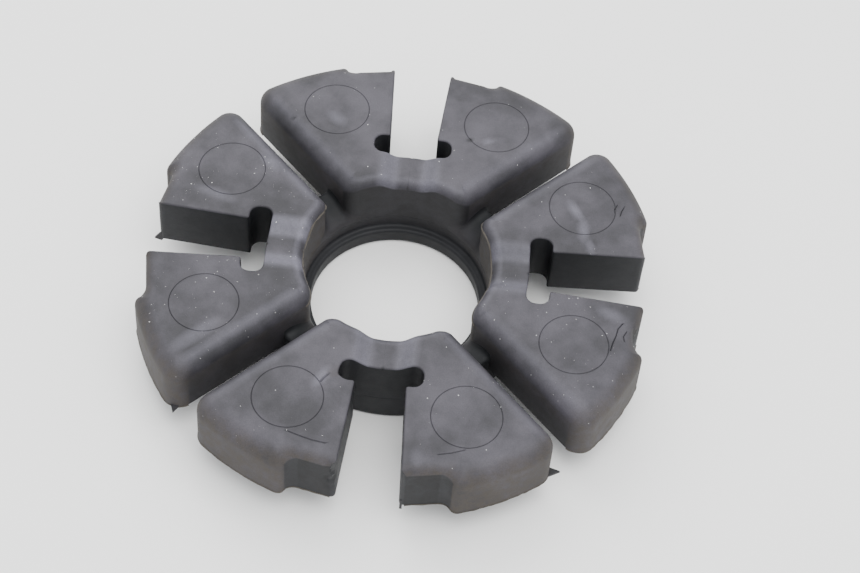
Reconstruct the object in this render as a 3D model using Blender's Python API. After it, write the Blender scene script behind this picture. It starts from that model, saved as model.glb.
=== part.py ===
"""Rubber cush-drive damper for a jaw coupling: a centre ring that carries eight drive lobes in four pairs.

Metres, +Z up. The origin is on the ring's axis, in the plane that the ring stands on. The slots between the
two lobes of a pair lie along +-X and +-Y, and the gaps between pairs lie on the diagonals. The moulding is
split where it is thinnest or changes shape: a locating band below, four bridges and four gap webs that make
the ring above it, and a lobe on each side of every slot, hinged at its neck.
"""
import math

import bmesh
import bpy

MM = 0.001

# Driving dimensions
OUTER_R = 71.5 * MM           # outer faces of the lobes, at their foot
OUTER_DRAFT = 0.3 * MM        # they and the end faces lean in by this much at the top
RING_OUTER_R = 35.8 * MM      # outer face of the ring
BORE_R = 25.7 * MM            # bore above the lip
LIP_R = 23.4 * MM             # bore through the lip at the bottom
HEIGHT = 25.15 * MM           # lobe tops above the seat
BAND_HEIGHT = 8.75 * MM       # parting line, and the underside of the lobes
LIP_HEIGHT = 4.85 * MM
WEB_TOP = 14.0 * MM
WEB_RISE = 0.8 * MM           # a web's top turns up by this much at the gap's walls
WEB_FALL = 4.2 * MM           # and falls by this much at the bore
BRIDGE_DROP = 2.0 * MM        # the middle of a bridge lies this far below the lobe tops
RAMP_OUTER_V = 8.4 * MM       # sideways distance from the slot axis where the ramp starts
RAMP_INNER_V = 3.4 * MM       # and where it ends
SLOT_HALF_ROOT = 6.6 * MM     # half the slot's width at SLOT_ROOT_U
SLOT_ROOT_U = 41.7 * MM
SLOT_FLARE = 0.0628           # the slot's wall moves out this much per unit of length
RELIEF_R = 2.6 * MM           # upright corners of the slot's cross-cut
RELIEF_U, RELIEF_V = 38.4 * MM, 8.3 * MM
RELIEF_FLAT = 1.0 * MM        # flat between those corners
GAP_HALF = 3.5 * MM           # half the width of the gap between pairs
SLOT_CORNER_R = 1.6 * MM      # upright corner between the end face and the slot
HOLLOW_R = 3.0 * MM           # upright hollow between the end face and the outer face
HOLLOW_U, HOLLOW_V = 68.35 * MM, 18.8 * MM    # its centre, at the foot
STEP_R = 2.0 * MM             # upright corner between the hollow and the outer face
END_SLOPE = 0.19              # the end face runs back this much per unit of V, into the hollow
CORNER_R = 4.8 * MM           # upright corner between the gap wall and the outer face
TOP_FILLET = 4.6 * MM         # along the gap side and the outer side of a lobe
HOLLOW_FILLET = 2.4 * MM      # along the end face
EDGE_FILLET = 0.5 * MM        # along the slot
BORE_FILLET = 2.7 * MM        # top edge of the bore
EDGE_CHAMFER = 0.8 * MM       # feet of the band
NOSE_R = 3.2 * MM             # upright corner where a gap meets the bore
NOSE_DEPTH = 2.6 * MM         # how far that corner draws the bore's wall back
SPLIT_GAP = 0.3 * MM          # clearance between pieces of the moulding that keep still
NECK_GAP = 0.9 * MM           # clearance at a lobe's root, which lets it swing

OUTER_STEPS = 3               # flats on the arcs round a lobe
ROOT_STEPS = 3
HOLLOW_STEPS = 4
STEP_STEPS = 3
RELIEF_STEPS = 5
CORNER_STEPS = 6
SLOT_CORNER_STEPS = 4
RING_SIDES = 72
FILLET_STEPS = 3
BRIDGE_STEPS = 20

SIDES = ("right", "back", "left", "front")        # slots along +X, +Y, -X, -Y
QUARTER = math.pi / 2
DIAGONAL = math.pi / 4


def clear_scene():
    for obj in list(bpy.data.objects):
        bpy.data.objects.remove(obj, do_unlink=True)


def rubber(name, colour, roughness):
    """A plain rubber finish."""
    material = bpy.data.materials.new(name)
    material.use_nodes = True
    shader = material.node_tree.nodes["Principled BSDF"]
    shader.inputs["Base Color"].default_value = (*colour, 1.0)
    shader.inputs["Roughness"].default_value = roughness
    shader.inputs["Metallic"].default_value = 0.0
    return material


def add_object(name, bm, material, turn=0.0):
    """Turns the mesh about the ring's axis and links it as one named object."""
    bmesh.ops.recalc_face_normals(bm, faces=bm.faces)
    mesh = bpy.data.meshes.new(name)
    bm.to_mesh(mesh)
    bm.free()
    mesh.materials.append(material)
    mesh.shade_smooth()
    mesh.set_sharp_from_angle(angle=math.radians(35))
    obj = bpy.data.objects.new(name, mesh)
    obj.rotation_euler = (0.0, 0.0, turn)
    bpy.context.scene.collection.objects.link(obj)
    return obj


def arc(centre, radius, start, end, steps):
    """Points on an arc, both ends included."""
    turns = (start + (end - start) * i / steps for i in range(steps + 1))
    return [(centre[0] + radius * math.cos(a), centre[1] + radius * math.sin(a)) for a in turns]


def meeting_point(centre, radius, big_r):
    """Where a circle meets the circle of radius big_r about the origin, on the side of larger V."""
    distance = math.hypot(*centre)
    along = (distance ** 2 + big_r ** 2 - radius ** 2) / (2 * distance)
    across = math.sqrt(big_r ** 2 - along ** 2)
    ux, uy = centre[0] / distance, centre[1] / distance
    return ux * along - uy * across, uy * along + ux * across


def gap_wall_point(radius):
    """The point at this radius on the wall of the gap, on the side towards +U."""
    along = math.sqrt(radius ** 2 - GAP_HALF ** 2)
    ux, uy = math.cos(DIAGONAL), math.sin(DIAGONAL)
    return ux * along + uy * GAP_HALF, uy * along - ux * GAP_HALF


def angle_of(point, centre=(0.0, 0.0)):
    return math.atan2(point[1] - centre[1], point[0] - centre[0])


def slot_wall_v(u):
    return SLOT_HALF_ROOT + SLOT_FLARE * (u - SLOT_ROOT_U)


def slot_corner_centre(end_point, tilt, end_tilt):
    """Centre of the corner that touches both the slot's wall and the end face."""
    across, along = math.cos(tilt), -math.sin(tilt)
    wall = across * slot_wall_v(0.0) + SLOT_CORNER_R
    end_across, end_along = math.sin(end_tilt), math.cos(end_tilt)
    end = end_along * end_point[0] + end_across * end_point[1] - SLOT_CORNER_R
    size = end_along * across - end_across * along
    return (end * across - wall * end_across) / size, (end_along * wall - along * end) / size


def lobe_outline(rise):
    """The lobe at +V of a slot that runs along +U, counterclockwise: points, their top fillets and ways in.

    A way in is where the fillet leads from a point. It is None where that is square to the sides.
    rise is 0 at the foot and 1 at the top, where the outer and end faces have leant in by all of their draft.
    """
    root_r = RING_OUTER_R + NECK_GAP
    outer_r = OUTER_R - OUTER_DRAFT * rise
    tilt, end_tilt = math.atan(SLOT_FLARE), math.atan(END_SLOPE)
    hollow = (HOLLOW_U - OUTER_DRAFT * rise, HOLLOW_V)
    rows = []

    def add(points, fillet, way=None):
        rows.extend((point, fillet, way) for point in points)

    step = meeting_point(hollow, HOLLOW_R + STEP_R, outer_r - STEP_R)
    step_turn = angle_of(step, hollow)
    hollow_arc = arc(hollow, HOLLOW_R, math.pi + end_tilt, step_turn, HOLLOW_STEPS)
    slot_corner = slot_corner_centre(hollow_arc[0], tilt, end_tilt)
    add(arc(slot_corner, SLOT_CORNER_R, tilt - QUARTER, end_tilt, SLOT_CORNER_STEPS), EDGE_FILLET)
    for k, point in enumerate(hollow_arc[:-1]):
        share = k / (len(hollow_arc) - 1)
        add([point], HOLLOW_FILLET + (TOP_FILLET - HOLLOW_FILLET) * share, (-1.0, 0.0))

    add(arc(step, STEP_R, step_turn - math.pi, angle_of(step), STEP_STEPS)[:-1], TOP_FILLET)
    inner_r = outer_r - CORNER_R
    offset = GAP_HALF + CORNER_R
    along = math.sqrt(inner_r ** 2 - offset ** 2)
    ux, uy = math.cos(DIAGONAL), math.sin(DIAGONAL)
    corner = (ux * along + uy * offset, uy * along - ux * offset)
    add(arc((0.0, 0.0), outer_r, angle_of(step), angle_of(corner), OUTER_STEPS), TOP_FILLET)
    add(arc(corner, CORNER_R, angle_of(corner), DIAGONAL + QUARTER, CORNER_STEPS)[1:], TOP_FILLET)

    root_gap_corner = gap_wall_point(root_r)
    add([root_gap_corner], TOP_FILLET)
    near_ring = (RELIEF_U - RELIEF_FLAT / 2, RELIEF_V)
    far_end = (RELIEF_U + RELIEF_FLAT / 2, RELIEF_V)
    root_relief_corner = meeting_point(near_ring, RELIEF_R, root_r)
    root = arc((0.0, 0.0), root_r, angle_of(root_gap_corner), angle_of(root_relief_corner), ROOT_STEPS)
    add(root[1:], EDGE_FILLET)
    relief = angle_of(root_relief_corner, near_ring)
    add(arc(near_ring, RELIEF_R, relief, QUARTER, RELIEF_STEPS - 1)[1:], EDGE_FILLET)
    add(arc(far_end, RELIEF_R, QUARTER, 0.0, RELIEF_STEPS), EDGE_FILLET)
    relief_u = far_end[0] + RELIEF_R
    add([(relief_u, slot_wall_v(relief_u))], EDGE_FILLET)
    return rows


def inset(rows, share):
    """The outline moved in by a share of each point's fillet, by its own way in or square to its sides.

    Where the fillet changes at a corner, the point moves square to the side with the larger one.
    """
    moved = []
    for i, (point, fillet, way) in enumerate(rows):
        if way:
            moved.append((point[0] + way[0] * fillet * share, point[1] + way[1] * fillet * share))
            continue
        before, after = rows[i - 1], rows[(i + 1) % len(rows)]
        sides = []
        for start, end in ((before, rows[i]), (rows[i], after)):
            du, dv = end[0][0] - start[0][0], end[0][1] - start[0][1]
            length = math.hypot(du, dv)
            sides.append((-dv / length, du / length, min(start[1], end[1])))
        widest = max(side[2] for side in sides)
        sides = [side for side in sides if side[2] > widest / 2]
        nu = sum(side[0] for side in sides)
        nv = sum(side[1] for side in sides)
        size = math.hypot(nu, nv)
        mitre = min(1.5, len(sides) / size)
        step = fillet * share * mitre / size
        moved.append((point[0] + nu * step, point[1] + nv * step))
    return moved


def lobe_mesh(mirrored):
    """A lobe: upright walls that lean in a little, with a fillet round the top."""
    side = -1 if mirrored else 1
    top_rows = lobe_outline(1.0)
    foot = [point for point, _, _ in lobe_outline(0.0)]
    levels = [[(u, side * v, BAND_HEIGHT) for u, v in foot]]
    for step in range(FILLET_STEPS + 1):
        a = QUARTER * step / FILLET_STEPS
        points = inset(top_rows, 1 - math.cos(a))
        levels.append([(u, side * v, HEIGHT - fillet * (1 - math.sin(a)))
                       for (u, v), (_, fillet, _) in zip(points, top_rows)])
    return swept(levels, closed=False)


def swept(sections, closed):
    """Joins section loops of equal length into one solid. An open sweep is capped at both ends."""
    bm = bmesh.new()
    loops = [[bm.verts.new(point) for point in section] for section in sections]
    pairs = len(loops) if closed else len(loops) - 1
    for k in range(pairs):
        here, there = loops[k], loops[(k + 1) % len(loops)]
        for i in range(len(here)):
            j = (i + 1) % len(here)
            bm.faces.new((here[i], here[j], there[j], there[i]))
    if not closed:
        bm.faces.new(loops[0])
        bm.faces.new(loops[-1])
    return bm


def locating_band_mesh():
    """The ring below the parting line, with the inward lip at its foot."""
    top = BAND_HEIGHT - SPLIT_GAP
    profile = [
        (LIP_R + EDGE_CHAMFER, 0.0), (RING_OUTER_R - EDGE_CHAMFER, 0.0), (RING_OUTER_R, EDGE_CHAMFER),
        (RING_OUTER_R, top), (BORE_R, top), (BORE_R, LIP_HEIGHT + EDGE_CHAMFER),
        (LIP_R, LIP_HEIGHT), (LIP_R, EDGE_CHAMFER),
    ]
    turns = [2 * math.pi * k / RING_SIDES for k in range(RING_SIDES)]
    sections = [[(r * math.cos(a), r * math.sin(a), z) for r, z in profile] for a in turns]
    return swept(sections, closed=True)


def bridge_top(v):
    """Height of a bridge's top at a sideways distance v from the slot axis: a low middle between two ramps."""
    t = (abs(v) - RAMP_INNER_V) / (RAMP_OUTER_V - RAMP_INNER_V)
    t = min(1.0, max(0.0, t))
    return HEIGHT - BRIDGE_DROP * (1 - t)


def bridge_mesh():
    """The part of the ring between two gaps, above the parting line."""
    end_inner = angle_of(gap_wall_point(BORE_R))
    end_outer = angle_of(gap_wall_point(RING_OUTER_R))
    sections = []
    for k in range(BRIDGE_STEPS + 1):
        share = 2 * k / BRIDGE_STEPS - 1
        from_end = (1 - abs(share)) * end_inner * BORE_R
        bend = max(0.0, 1 - from_end / NOSE_R)
        inner_r = BORE_R + NOSE_DEPTH * (1 - math.sqrt(1 - bend ** 2))
        inner = (inner_r * math.cos(share * end_inner), inner_r * math.sin(share * end_inner))
        outer = (RING_OUTER_R * math.cos(share * end_outer), RING_OUTER_R * math.sin(share * end_outer))
        length = math.dist(inner, outer)

        def at(distance, z):
            t = distance / length
            return (inner[0] + t * (outer[0] - inner[0]), inner[1] + t * (outer[1] - inner[1]), z)

        top_inner = bridge_top(at(BORE_FILLET, 0.0)[1])
        section = [at(0.0, BAND_HEIGHT)]
        for step in range(FILLET_STEPS + 1):
            a = QUARTER * step / FILLET_STEPS
            section.append(at(BORE_FILLET * (1 - math.cos(a)), top_inner - BORE_FILLET * (1 - math.sin(a))))
        section += [at(length, bridge_top(outer[1])), at(length, BAND_HEIGHT)]
        sections.append(section)
    return swept(sections, closed=False)


def gap_web_mesh():
    """The low tie between two bridges, across the inner end of a gap that runs along +U."""
    half = GAP_HALF - SPLIT_GAP
    bore_end = BORE_R + NOSE_R / 2
    sections = []
    for r, top in ((bore_end, WEB_TOP - WEB_FALL), (bore_end + 1.5 * NOSE_R, WEB_TOP), (RING_OUTER_R, WEB_TOP)):
        profile = [(-half, BAND_HEIGHT), (half, BAND_HEIGHT), (half, top + WEB_RISE),
                   (half / 2, top), (-half / 2, top), (-half, top + WEB_RISE)]
        sections.append([(math.sqrt(r ** 2 - v ** 2), v, z) for v, z in profile])
    return swept(sections, closed=False)


def main():
    clear_scene()
    lobe_rubber = rubber("lobe rubber", (0.060, 0.060, 0.065), 0.62)
    ring_rubber = rubber("ring rubber", (0.050, 0.050, 0.053), 0.66)
    band_rubber = rubber("band rubber", (0.042, 0.040, 0.038), 0.72)

    add_object("locating_band", locating_band_mesh(), band_rubber)
    for i, side in enumerate(SIDES):
        turn = i * QUARTER
        after, before = SIDES[(i + 1) % 4], SIDES[i - 1]
        add_object(f"bridge_{side}", bridge_mesh(), ring_rubber, turn)
        add_object(f"gap_web_{side}_{after}", gap_web_mesh(), ring_rubber, turn + DIAGONAL)
        add_object(f"lobe_{side}_{after}", lobe_mesh(False), lobe_rubber, turn)
        add_object(f"lobe_{side}_{before}", lobe_mesh(True), lobe_rubber, turn)


main()
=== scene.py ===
"""Rubber cush-drive damper of a jaw coupling: eight drive lobes in four pairs round a bored ring.

Metres, +Z up, origin on the ring's axis in the plane that it stands on. Each lobe is moulded in one skin with
its half of the bridge. Low webs tie the pairs together across the gaps, and the locating band closes the ring
below the parting line.

U runs out along a slot and V runs sideways from it. The four slots lie along +X, +Y, -X and -Y.
"""
import logging
import math
from collections.abc import Callable
from dataclasses import dataclass
from enum import Enum

import bmesh
import bpy
import numpy as np
from mathutils import Matrix, Vector, noise
from mathutils.geometry import delaunay_2d_cdt


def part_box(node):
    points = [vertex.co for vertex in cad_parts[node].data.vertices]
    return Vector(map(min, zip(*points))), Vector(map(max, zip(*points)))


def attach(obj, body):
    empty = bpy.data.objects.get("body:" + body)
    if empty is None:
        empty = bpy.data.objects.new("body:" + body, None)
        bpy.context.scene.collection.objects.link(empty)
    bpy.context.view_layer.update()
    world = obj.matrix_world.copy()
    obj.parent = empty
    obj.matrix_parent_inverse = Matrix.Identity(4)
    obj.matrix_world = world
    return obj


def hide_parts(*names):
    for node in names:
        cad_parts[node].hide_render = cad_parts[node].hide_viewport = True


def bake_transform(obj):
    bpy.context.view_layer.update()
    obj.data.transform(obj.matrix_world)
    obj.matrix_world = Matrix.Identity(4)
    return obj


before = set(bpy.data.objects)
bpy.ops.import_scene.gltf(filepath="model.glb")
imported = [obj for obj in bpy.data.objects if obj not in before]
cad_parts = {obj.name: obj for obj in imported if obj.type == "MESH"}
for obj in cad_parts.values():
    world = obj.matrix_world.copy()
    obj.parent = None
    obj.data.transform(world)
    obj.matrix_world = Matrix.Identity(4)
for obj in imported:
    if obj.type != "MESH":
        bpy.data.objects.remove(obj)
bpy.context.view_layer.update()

MM = 0.001
QUARTER = math.pi / 2
DIAGONAL = math.pi / 4
SHARP_FROM = math.radians(35)
MARKS = ("bloom", "dust", "crease_shade", "shade")

Point = tuple[float, float]
Place = tuple[float, float, float]
Colour = tuple[float, float, float]
AddRows = Callable[..., None]

log = logging.getLogger("damper")


class Side(Enum):
    """The four slots, in quarter turns from +X."""

    RIGHT = 0
    BACK = 1
    LEFT = 2
    FRONT = 3

    @property
    def label(self) -> str:
        """The side's name as the nodes have it."""
        return self.name.lower()

    @property
    def turn(self) -> float:
        """Angle of the slot from +X."""
        return self.value * QUARTER

    def beside(self, steps: int) -> "Side":
        """The side that is this many quarter turns further round."""
        return Side((self.value + steps) % 4)


class Hand(Enum):
    """Which side of its slot a lobe stands on, as the sign of V."""

    AFTER = 1
    BEFORE = -1


class Edge(Enum):
    """Stretches of a lobe's outline, in order."""

    SEAM = "where the two halves of a bridge meet"
    BRIDGE = "outer face of the bridge"
    RELIEF = "cross-cut at the root of the slot"
    SLOT = "drive face"
    END = "end face beside the slot"
    HOLLOW = "hollow between the end face and the outer face"
    OUTER = "outer face"
    GAP = "wall of the gap"
    BORE = "bore"


# ---------------------------------------------------------------- node trees


class Tree:
    """Short ways to add nodes to one node tree and link them."""

    def __init__(self, tree: bpy.types.NodeTree) -> None:
        """Keeps the tree."""
        self.tree = tree

    def add(self, kind: str, inputs: dict | None = None, **settings: object) -> bpy.types.Node:
        """Adds a node.

        Args:
            kind: the node's type.
            inputs: what its sockets get, by name or number: another socket to link, or a value.
            settings: the node's own properties.

        Returns:
            The new node.
        """
        node = self.tree.nodes.new(kind)
        for name, value in settings.items():
            setattr(node, name, value)
        for key, value in (inputs or {}).items():
            if isinstance(value, bpy.types.NodeSocket):
                self.tree.links.new(value, node.inputs[key])
            else:
                node.inputs[key].default_value = value
        return node

    def maths(self, operation: str, *values: object, clamp: bool = False) -> bpy.types.NodeSocket:
        """A Math node's result for these sockets or numbers."""
        inputs = dict(enumerate(values))
        return self.add("ShaderNodeMath", inputs, operation=operation, use_clamp=clamp).outputs[0]

    def fit(self, value: bpy.types.NodeSocket, low: float, high: float,
            start: float = 0.0, end: float = 1.0) -> bpy.types.NodeSocket:
        """Eases a value from start at low to end at high, and holds it beyond them.

        Args:
            value: the socket to ease.
            low: where the easing starts.
            high: where it ends.
            start: what the result is up to low.
            end: what it is from high on.

        Returns:
            The eased value.
        """
        inputs = {"Value": value, "From Min": low, "From Max": high, "To Min": start, "To Max": end}
        return self.add("ShaderNodeMapRange", inputs, interpolation_type="SMOOTHSTEP").outputs[0]

    def noise(self, place: bpy.types.NodeSocket, pitch: float, detail: float = 3.0,
              rough: float = 0.55, seed: float = 0.0) -> bpy.types.Node:
        """A noise whose blotches are about this pitch across.

        Args:
            place: where it is read.
            pitch: the size of a blotch.
            detail: how many finer layers it has.
            rough: how strong each finer layer is.
            seed: which noise it is.

        Returns:
            The Noise Texture node.
        """
        inputs = {"Vector": place, "W": seed, "Scale": 1.0 / pitch, "Detail": detail, "Roughness": rough}
        return self.add("ShaderNodeTexNoise", inputs, noise_dimensions="4D")

    def blend(self, share: object, under: object, over: object) -> bpy.types.NodeSocket:
        """Mixes two colours by a share from 0 to 1."""
        inputs = {0: share, 6: self._rgba(under), 7: self._rgba(over)}
        return self.add("ShaderNodeMix", inputs, data_type="RGBA").outputs[2]

    def mark(self, name: str) -> bpy.types.NodeSocket:
        """The value of one of the surface's marks."""
        return self.add("ShaderNodeAttribute", attribute_name=name).outputs["Fac"]

    @staticmethod
    def _rgba(colour: object) -> object:
        """Adds alpha to a plain colour and leaves a socket alone."""
        return (*colour, 1.0) if isinstance(colour, tuple) else colour


class GeometryTree(Tree):
    """A Geometry Nodes tree with named inputs, which ends in realised instances and a material."""

    KINDS = {float: "NodeSocketFloat", int: "NodeSocketInt", bpy.types.Material: "NodeSocketMaterial"}

    def __init__(self, name: str, **inputs: type) -> None:
        """Makes the tree with a geometry input and the given ones, whose underscores show as spaces."""
        super().__init__(bpy.data.node_groups.new(name, "GeometryNodeTree"))
        face = self.tree.interface
        face.new_socket("Geometry", in_out="INPUT", socket_type="NodeSocketGeometry")
        for key, kind in {**inputs, "finish": bpy.types.Material}.items():
            face.new_socket(self._title(key), in_out="INPUT", socket_type=self.KINDS[kind])
        face.new_socket("Geometry", in_out="OUTPUT", socket_type="NodeSocketGeometry")
        self.start = self.add("NodeGroupInput")

    @staticmethod
    def _title(key: str) -> str:
        """An argument's name as the tree shows it."""
        return key.replace("_", " ").capitalize()

    def given(self, key: str) -> bpy.types.NodeSocket:
        """The socket of a named input."""
        return self.start.outputs[self._title(key)]

    def turned(self) -> bpy.types.NodeSocket:
        """The input geometry, turned about Z by the input called turn."""
        spin = self.add("ShaderNodeCombineXYZ", {"Z": self.given("turn")})
        inputs = {"Geometry": self.given("geometry"), "Rotation": spin.outputs[0]}
        return self.add("GeometryNodeTransform", inputs).outputs[0]

    def wander(self, pitch: object, seed: object) -> bpy.types.Node:
        """A noise that follows the place, with lumps about this pitch across."""
        inputs = {"Vector": self.add("GeometryNodeInputPosition").outputs[0], "W": seed, "Detail": 2.0,
                  "Scale": self.maths("DIVIDE", 1.0, pitch)}
        return self.add("ShaderNodeTexNoise", inputs, noise_dimensions="4D")

    def vector_noise(self, pitch: object, amount: object, seed: object) -> bpy.types.NodeSocket:
        """An offset in all three directions that wanders by up to about this amount.

        Args:
            pitch: how far apart its swells are.
            amount: how far it reaches.
            seed: which noise it is.

        Returns:
            The offset.
        """
        inputs = {0: self.wander(pitch, seed).outputs["Color"], 1: (0.5, 0.5, 0.5)}
        centred = self.add("ShaderNodeVectorMath", inputs, operation="SUBTRACT")
        return self.add("ShaderNodeVectorMath", {0: centred.outputs[0], "Scale": amount},
                        operation="SCALE").outputs[0]

    def end(self, geometry: bpy.types.NodeSocket) -> None:
        """Realises what was made, gives it its finish and closes the tree."""
        real = self.add("GeometryNodeRealizeInstances", {0: geometry})
        done = self.add("GeometryNodeSetMaterial", {0: real.outputs[0], "Material": self.given("finish")})
        self.add("NodeGroupOutput", {0: done.outputs[0]})

    def make(self, name: str, source: bpy.types.Mesh, **values: object) -> bpy.types.Object:
        """Runs the tree on a mesh and keeps the result as a plain mesh.

        Args:
            name: the new object's name.
            source: the mesh that the tree starts from.
            values: what the named inputs get.

        Returns:
            The object, at the origin and with no modifier.
        """
        obj = bpy.data.objects.new(name, source)
        bpy.context.scene.collection.objects.link(obj)
        modifier = obj.modifiers.new(self.tree.name, "NODES")
        modifier.node_group = self.tree
        named = {self._title(key): value for key, value in values.items()}
        for item in self.tree.interface.items_tree:
            if item.in_out == "INPUT" and item.name in named:
                modifier[item.identifier] = named[item.name]
        graph = bpy.context.evaluated_depsgraph_get()
        made = bpy.data.meshes.new_from_object(obj.evaluated_get(graph), preserve_all_data_layers=True,
                                               depsgraph=graph)
        obj.modifiers.clear()
        obj.data = made
        made.name = name
        bpy.data.meshes.remove(source)
        return obj


def weathered_tree() -> GeometryTree:
    """Turns a lobe to its slot and lets its skin wander a little, as moulded rubber does."""
    tree = GeometryTree("turned and weathered", turn=float, wave=float, wave_pitch=float,
                        grain=float, grain_pitch=float, seed=float)
    solid = tree.turned()
    for size in ("wave", "grain"):
        offset = tree.vector_noise(tree.given(f"{size}_pitch"), tree.given(size), tree.given("seed"))
        solid = tree.add("GeometryNodeSetPosition", {"Geometry": solid, "Offset": offset}).outputs[0]
    tree.end(solid)
    return tree


def turned_ring_tree() -> GeometryTree:
    """Sweeps a closed profile, drawn as radius less pitch radius and depth, round the Z axis."""
    tree = GeometryTree("turned ring", pitch_radius=float, sides=int, wave=float, wave_pitch=float,
                        seed=float)
    profile = tree.add("GeometryNodeMeshToCurve", {"Mesh": tree.given("geometry")})
    path = tree.add("GeometryNodeCurvePrimitiveCircle",
                    {"Resolution": tree.given("sides"), "Radius": tree.given("pitch_radius")})
    swept = tree.add("GeometryNodeCurveToMesh",
                     {"Curve": path.outputs["Curve"], "Profile Curve": profile.outputs[0]})
    offset = tree.vector_noise(tree.given("wave_pitch"), tree.given("wave"), tree.given("seed"))
    tree.end(tree.add("GeometryNodeSetPosition", {"Geometry": swept.outputs[0], "Offset": offset}).outputs[0])
    return tree


def flash_bead_tree() -> GeometryTree:
    """A thin bead of flash, thick and thin by turns, along each line of the input mesh."""
    tree = GeometryTree("flash bead", radius=float, step=float, ragged_pitch=float, thinnest=float,
                        wave=float, sides=int, turn=float, seed=float)
    line = tree.add("GeometryNodeMeshToCurve", {"Mesh": tree.turned()})
    even = tree.add("GeometryNodeResampleCurve", {"Curve": line.outputs[0], "Length": tree.given("step")},
                    mode="LENGTH")
    offset = tree.vector_noise(tree.given("ragged_pitch"), tree.given("wave"), tree.given("seed"))
    moved = tree.add("GeometryNodeSetPosition", {"Geometry": even.outputs[0], "Offset": offset})
    lumps = tree.wander(tree.given("ragged_pitch"), tree.given("seed")).outputs["Fac"]
    share = tree.add("ShaderNodeMapRange", {"Value": lumps, "From Min": 0.35, "From Max": 0.65,
                                            "To Min": tree.given("thinnest"), "To Max": 1.0}).outputs[0]
    section = tree.add("GeometryNodeCurvePrimitiveCircle",
                       {"Resolution": tree.given("sides"), "Radius": tree.given("radius")})
    bead = tree.add("GeometryNodeCurveToMesh",
                    {"Curve": moved.outputs[0], "Profile Curve": section.outputs["Curve"], "Scale": share,
                     "Fill Caps": True})
    tree.end(bead.outputs[0])
    return tree


def grit_tree() -> GeometryTree:
    """Scatters crumbs of dust and lint in loose clusters over the upward faces of the input mesh."""
    tree = GeometryTree("grit", per_square_metre=float, smallest=float, largest=float, cluster_pitch=float,
                        lowest=float, seed=int, cluster_seed=float)
    normal = tree.add("ShaderNodeSeparateXYZ", {0: tree.add("GeometryNodeInputNormal").outputs[0]})
    place = tree.add("GeometryNodeInputPosition").outputs[0]
    height = tree.add("ShaderNodeSeparateXYZ", {0: place}).outputs["Z"]
    upward = tree.maths("GREATER_THAN", normal.outputs["Z"], 0.55)
    raised = tree.maths("GREATER_THAN", height, tree.given("lowest"))
    clusters = tree.wander(tree.given("cluster_pitch"), tree.given("cluster_seed")).outputs["Fac"]
    thick = tree.add("ShaderNodeMapRange", {"Value": clusters, "From Min": 0.42, "From Max": 0.72,
                                            "To Min": 0.06, "To Max": 1.0}).outputs[0]
    density = tree.maths("MULTIPLY", thick, tree.given("per_square_metre"))
    spots = tree.add("GeometryNodeDistributePointsOnFaces",
                     {"Mesh": tree.given("geometry"), "Density": density, "Seed": tree.given("seed"),
                      "Selection": tree.maths("MULTIPLY", upward, raised)})
    share = tree.add("FunctionNodeRandomValue", {"Seed": tree.given("seed")}, data_type="FLOAT").outputs[1]
    rare = tree.maths("POWER", share, 3.0)
    size = tree.add("ShaderNodeMapRange", {"Value": rare, "To Min": tree.given("smallest"),
                                           "To Max": tree.given("largest")}).outputs[0]
    stretch = tree.add("FunctionNodeRandomValue", {0: (0.7, 0.35, 0.25), 1: (1.5, 0.8, 0.5),
                                                   "Seed": tree.given("seed")}, data_type="FLOAT_VECTOR")
    scale = tree.add("ShaderNodeVectorMath", {0: stretch.outputs[0], "Scale": size}, operation="SCALE")
    spin = tree.add("FunctionNodeRandomValue", {0: (-0.3, -0.3, 0.0), 1: (0.3, 0.3, 2 * math.pi),
                                                "Seed": tree.given("seed")}, data_type="FLOAT_VECTOR")
    lie = tree.add("FunctionNodeRotateRotation",
                   {"Rotation": spots.outputs["Rotation"], "Rotate By": spin.outputs[0]},
                   rotation_space="LOCAL")
    crumb = tree.add("GeometryNodeMeshIcoSphere", {"Radius": 1.0, "Subdivisions": 1})
    laid = tree.add("GeometryNodeInstanceOnPoints",
                    {"Points": spots.outputs["Points"], "Instance": crumb.outputs[0],
                     "Rotation": lie.outputs[0], "Scale": scale.outputs[0]})
    tree.end(laid.outputs[0])
    return tree


# ---------------------------------------------------------------- finishes


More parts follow.
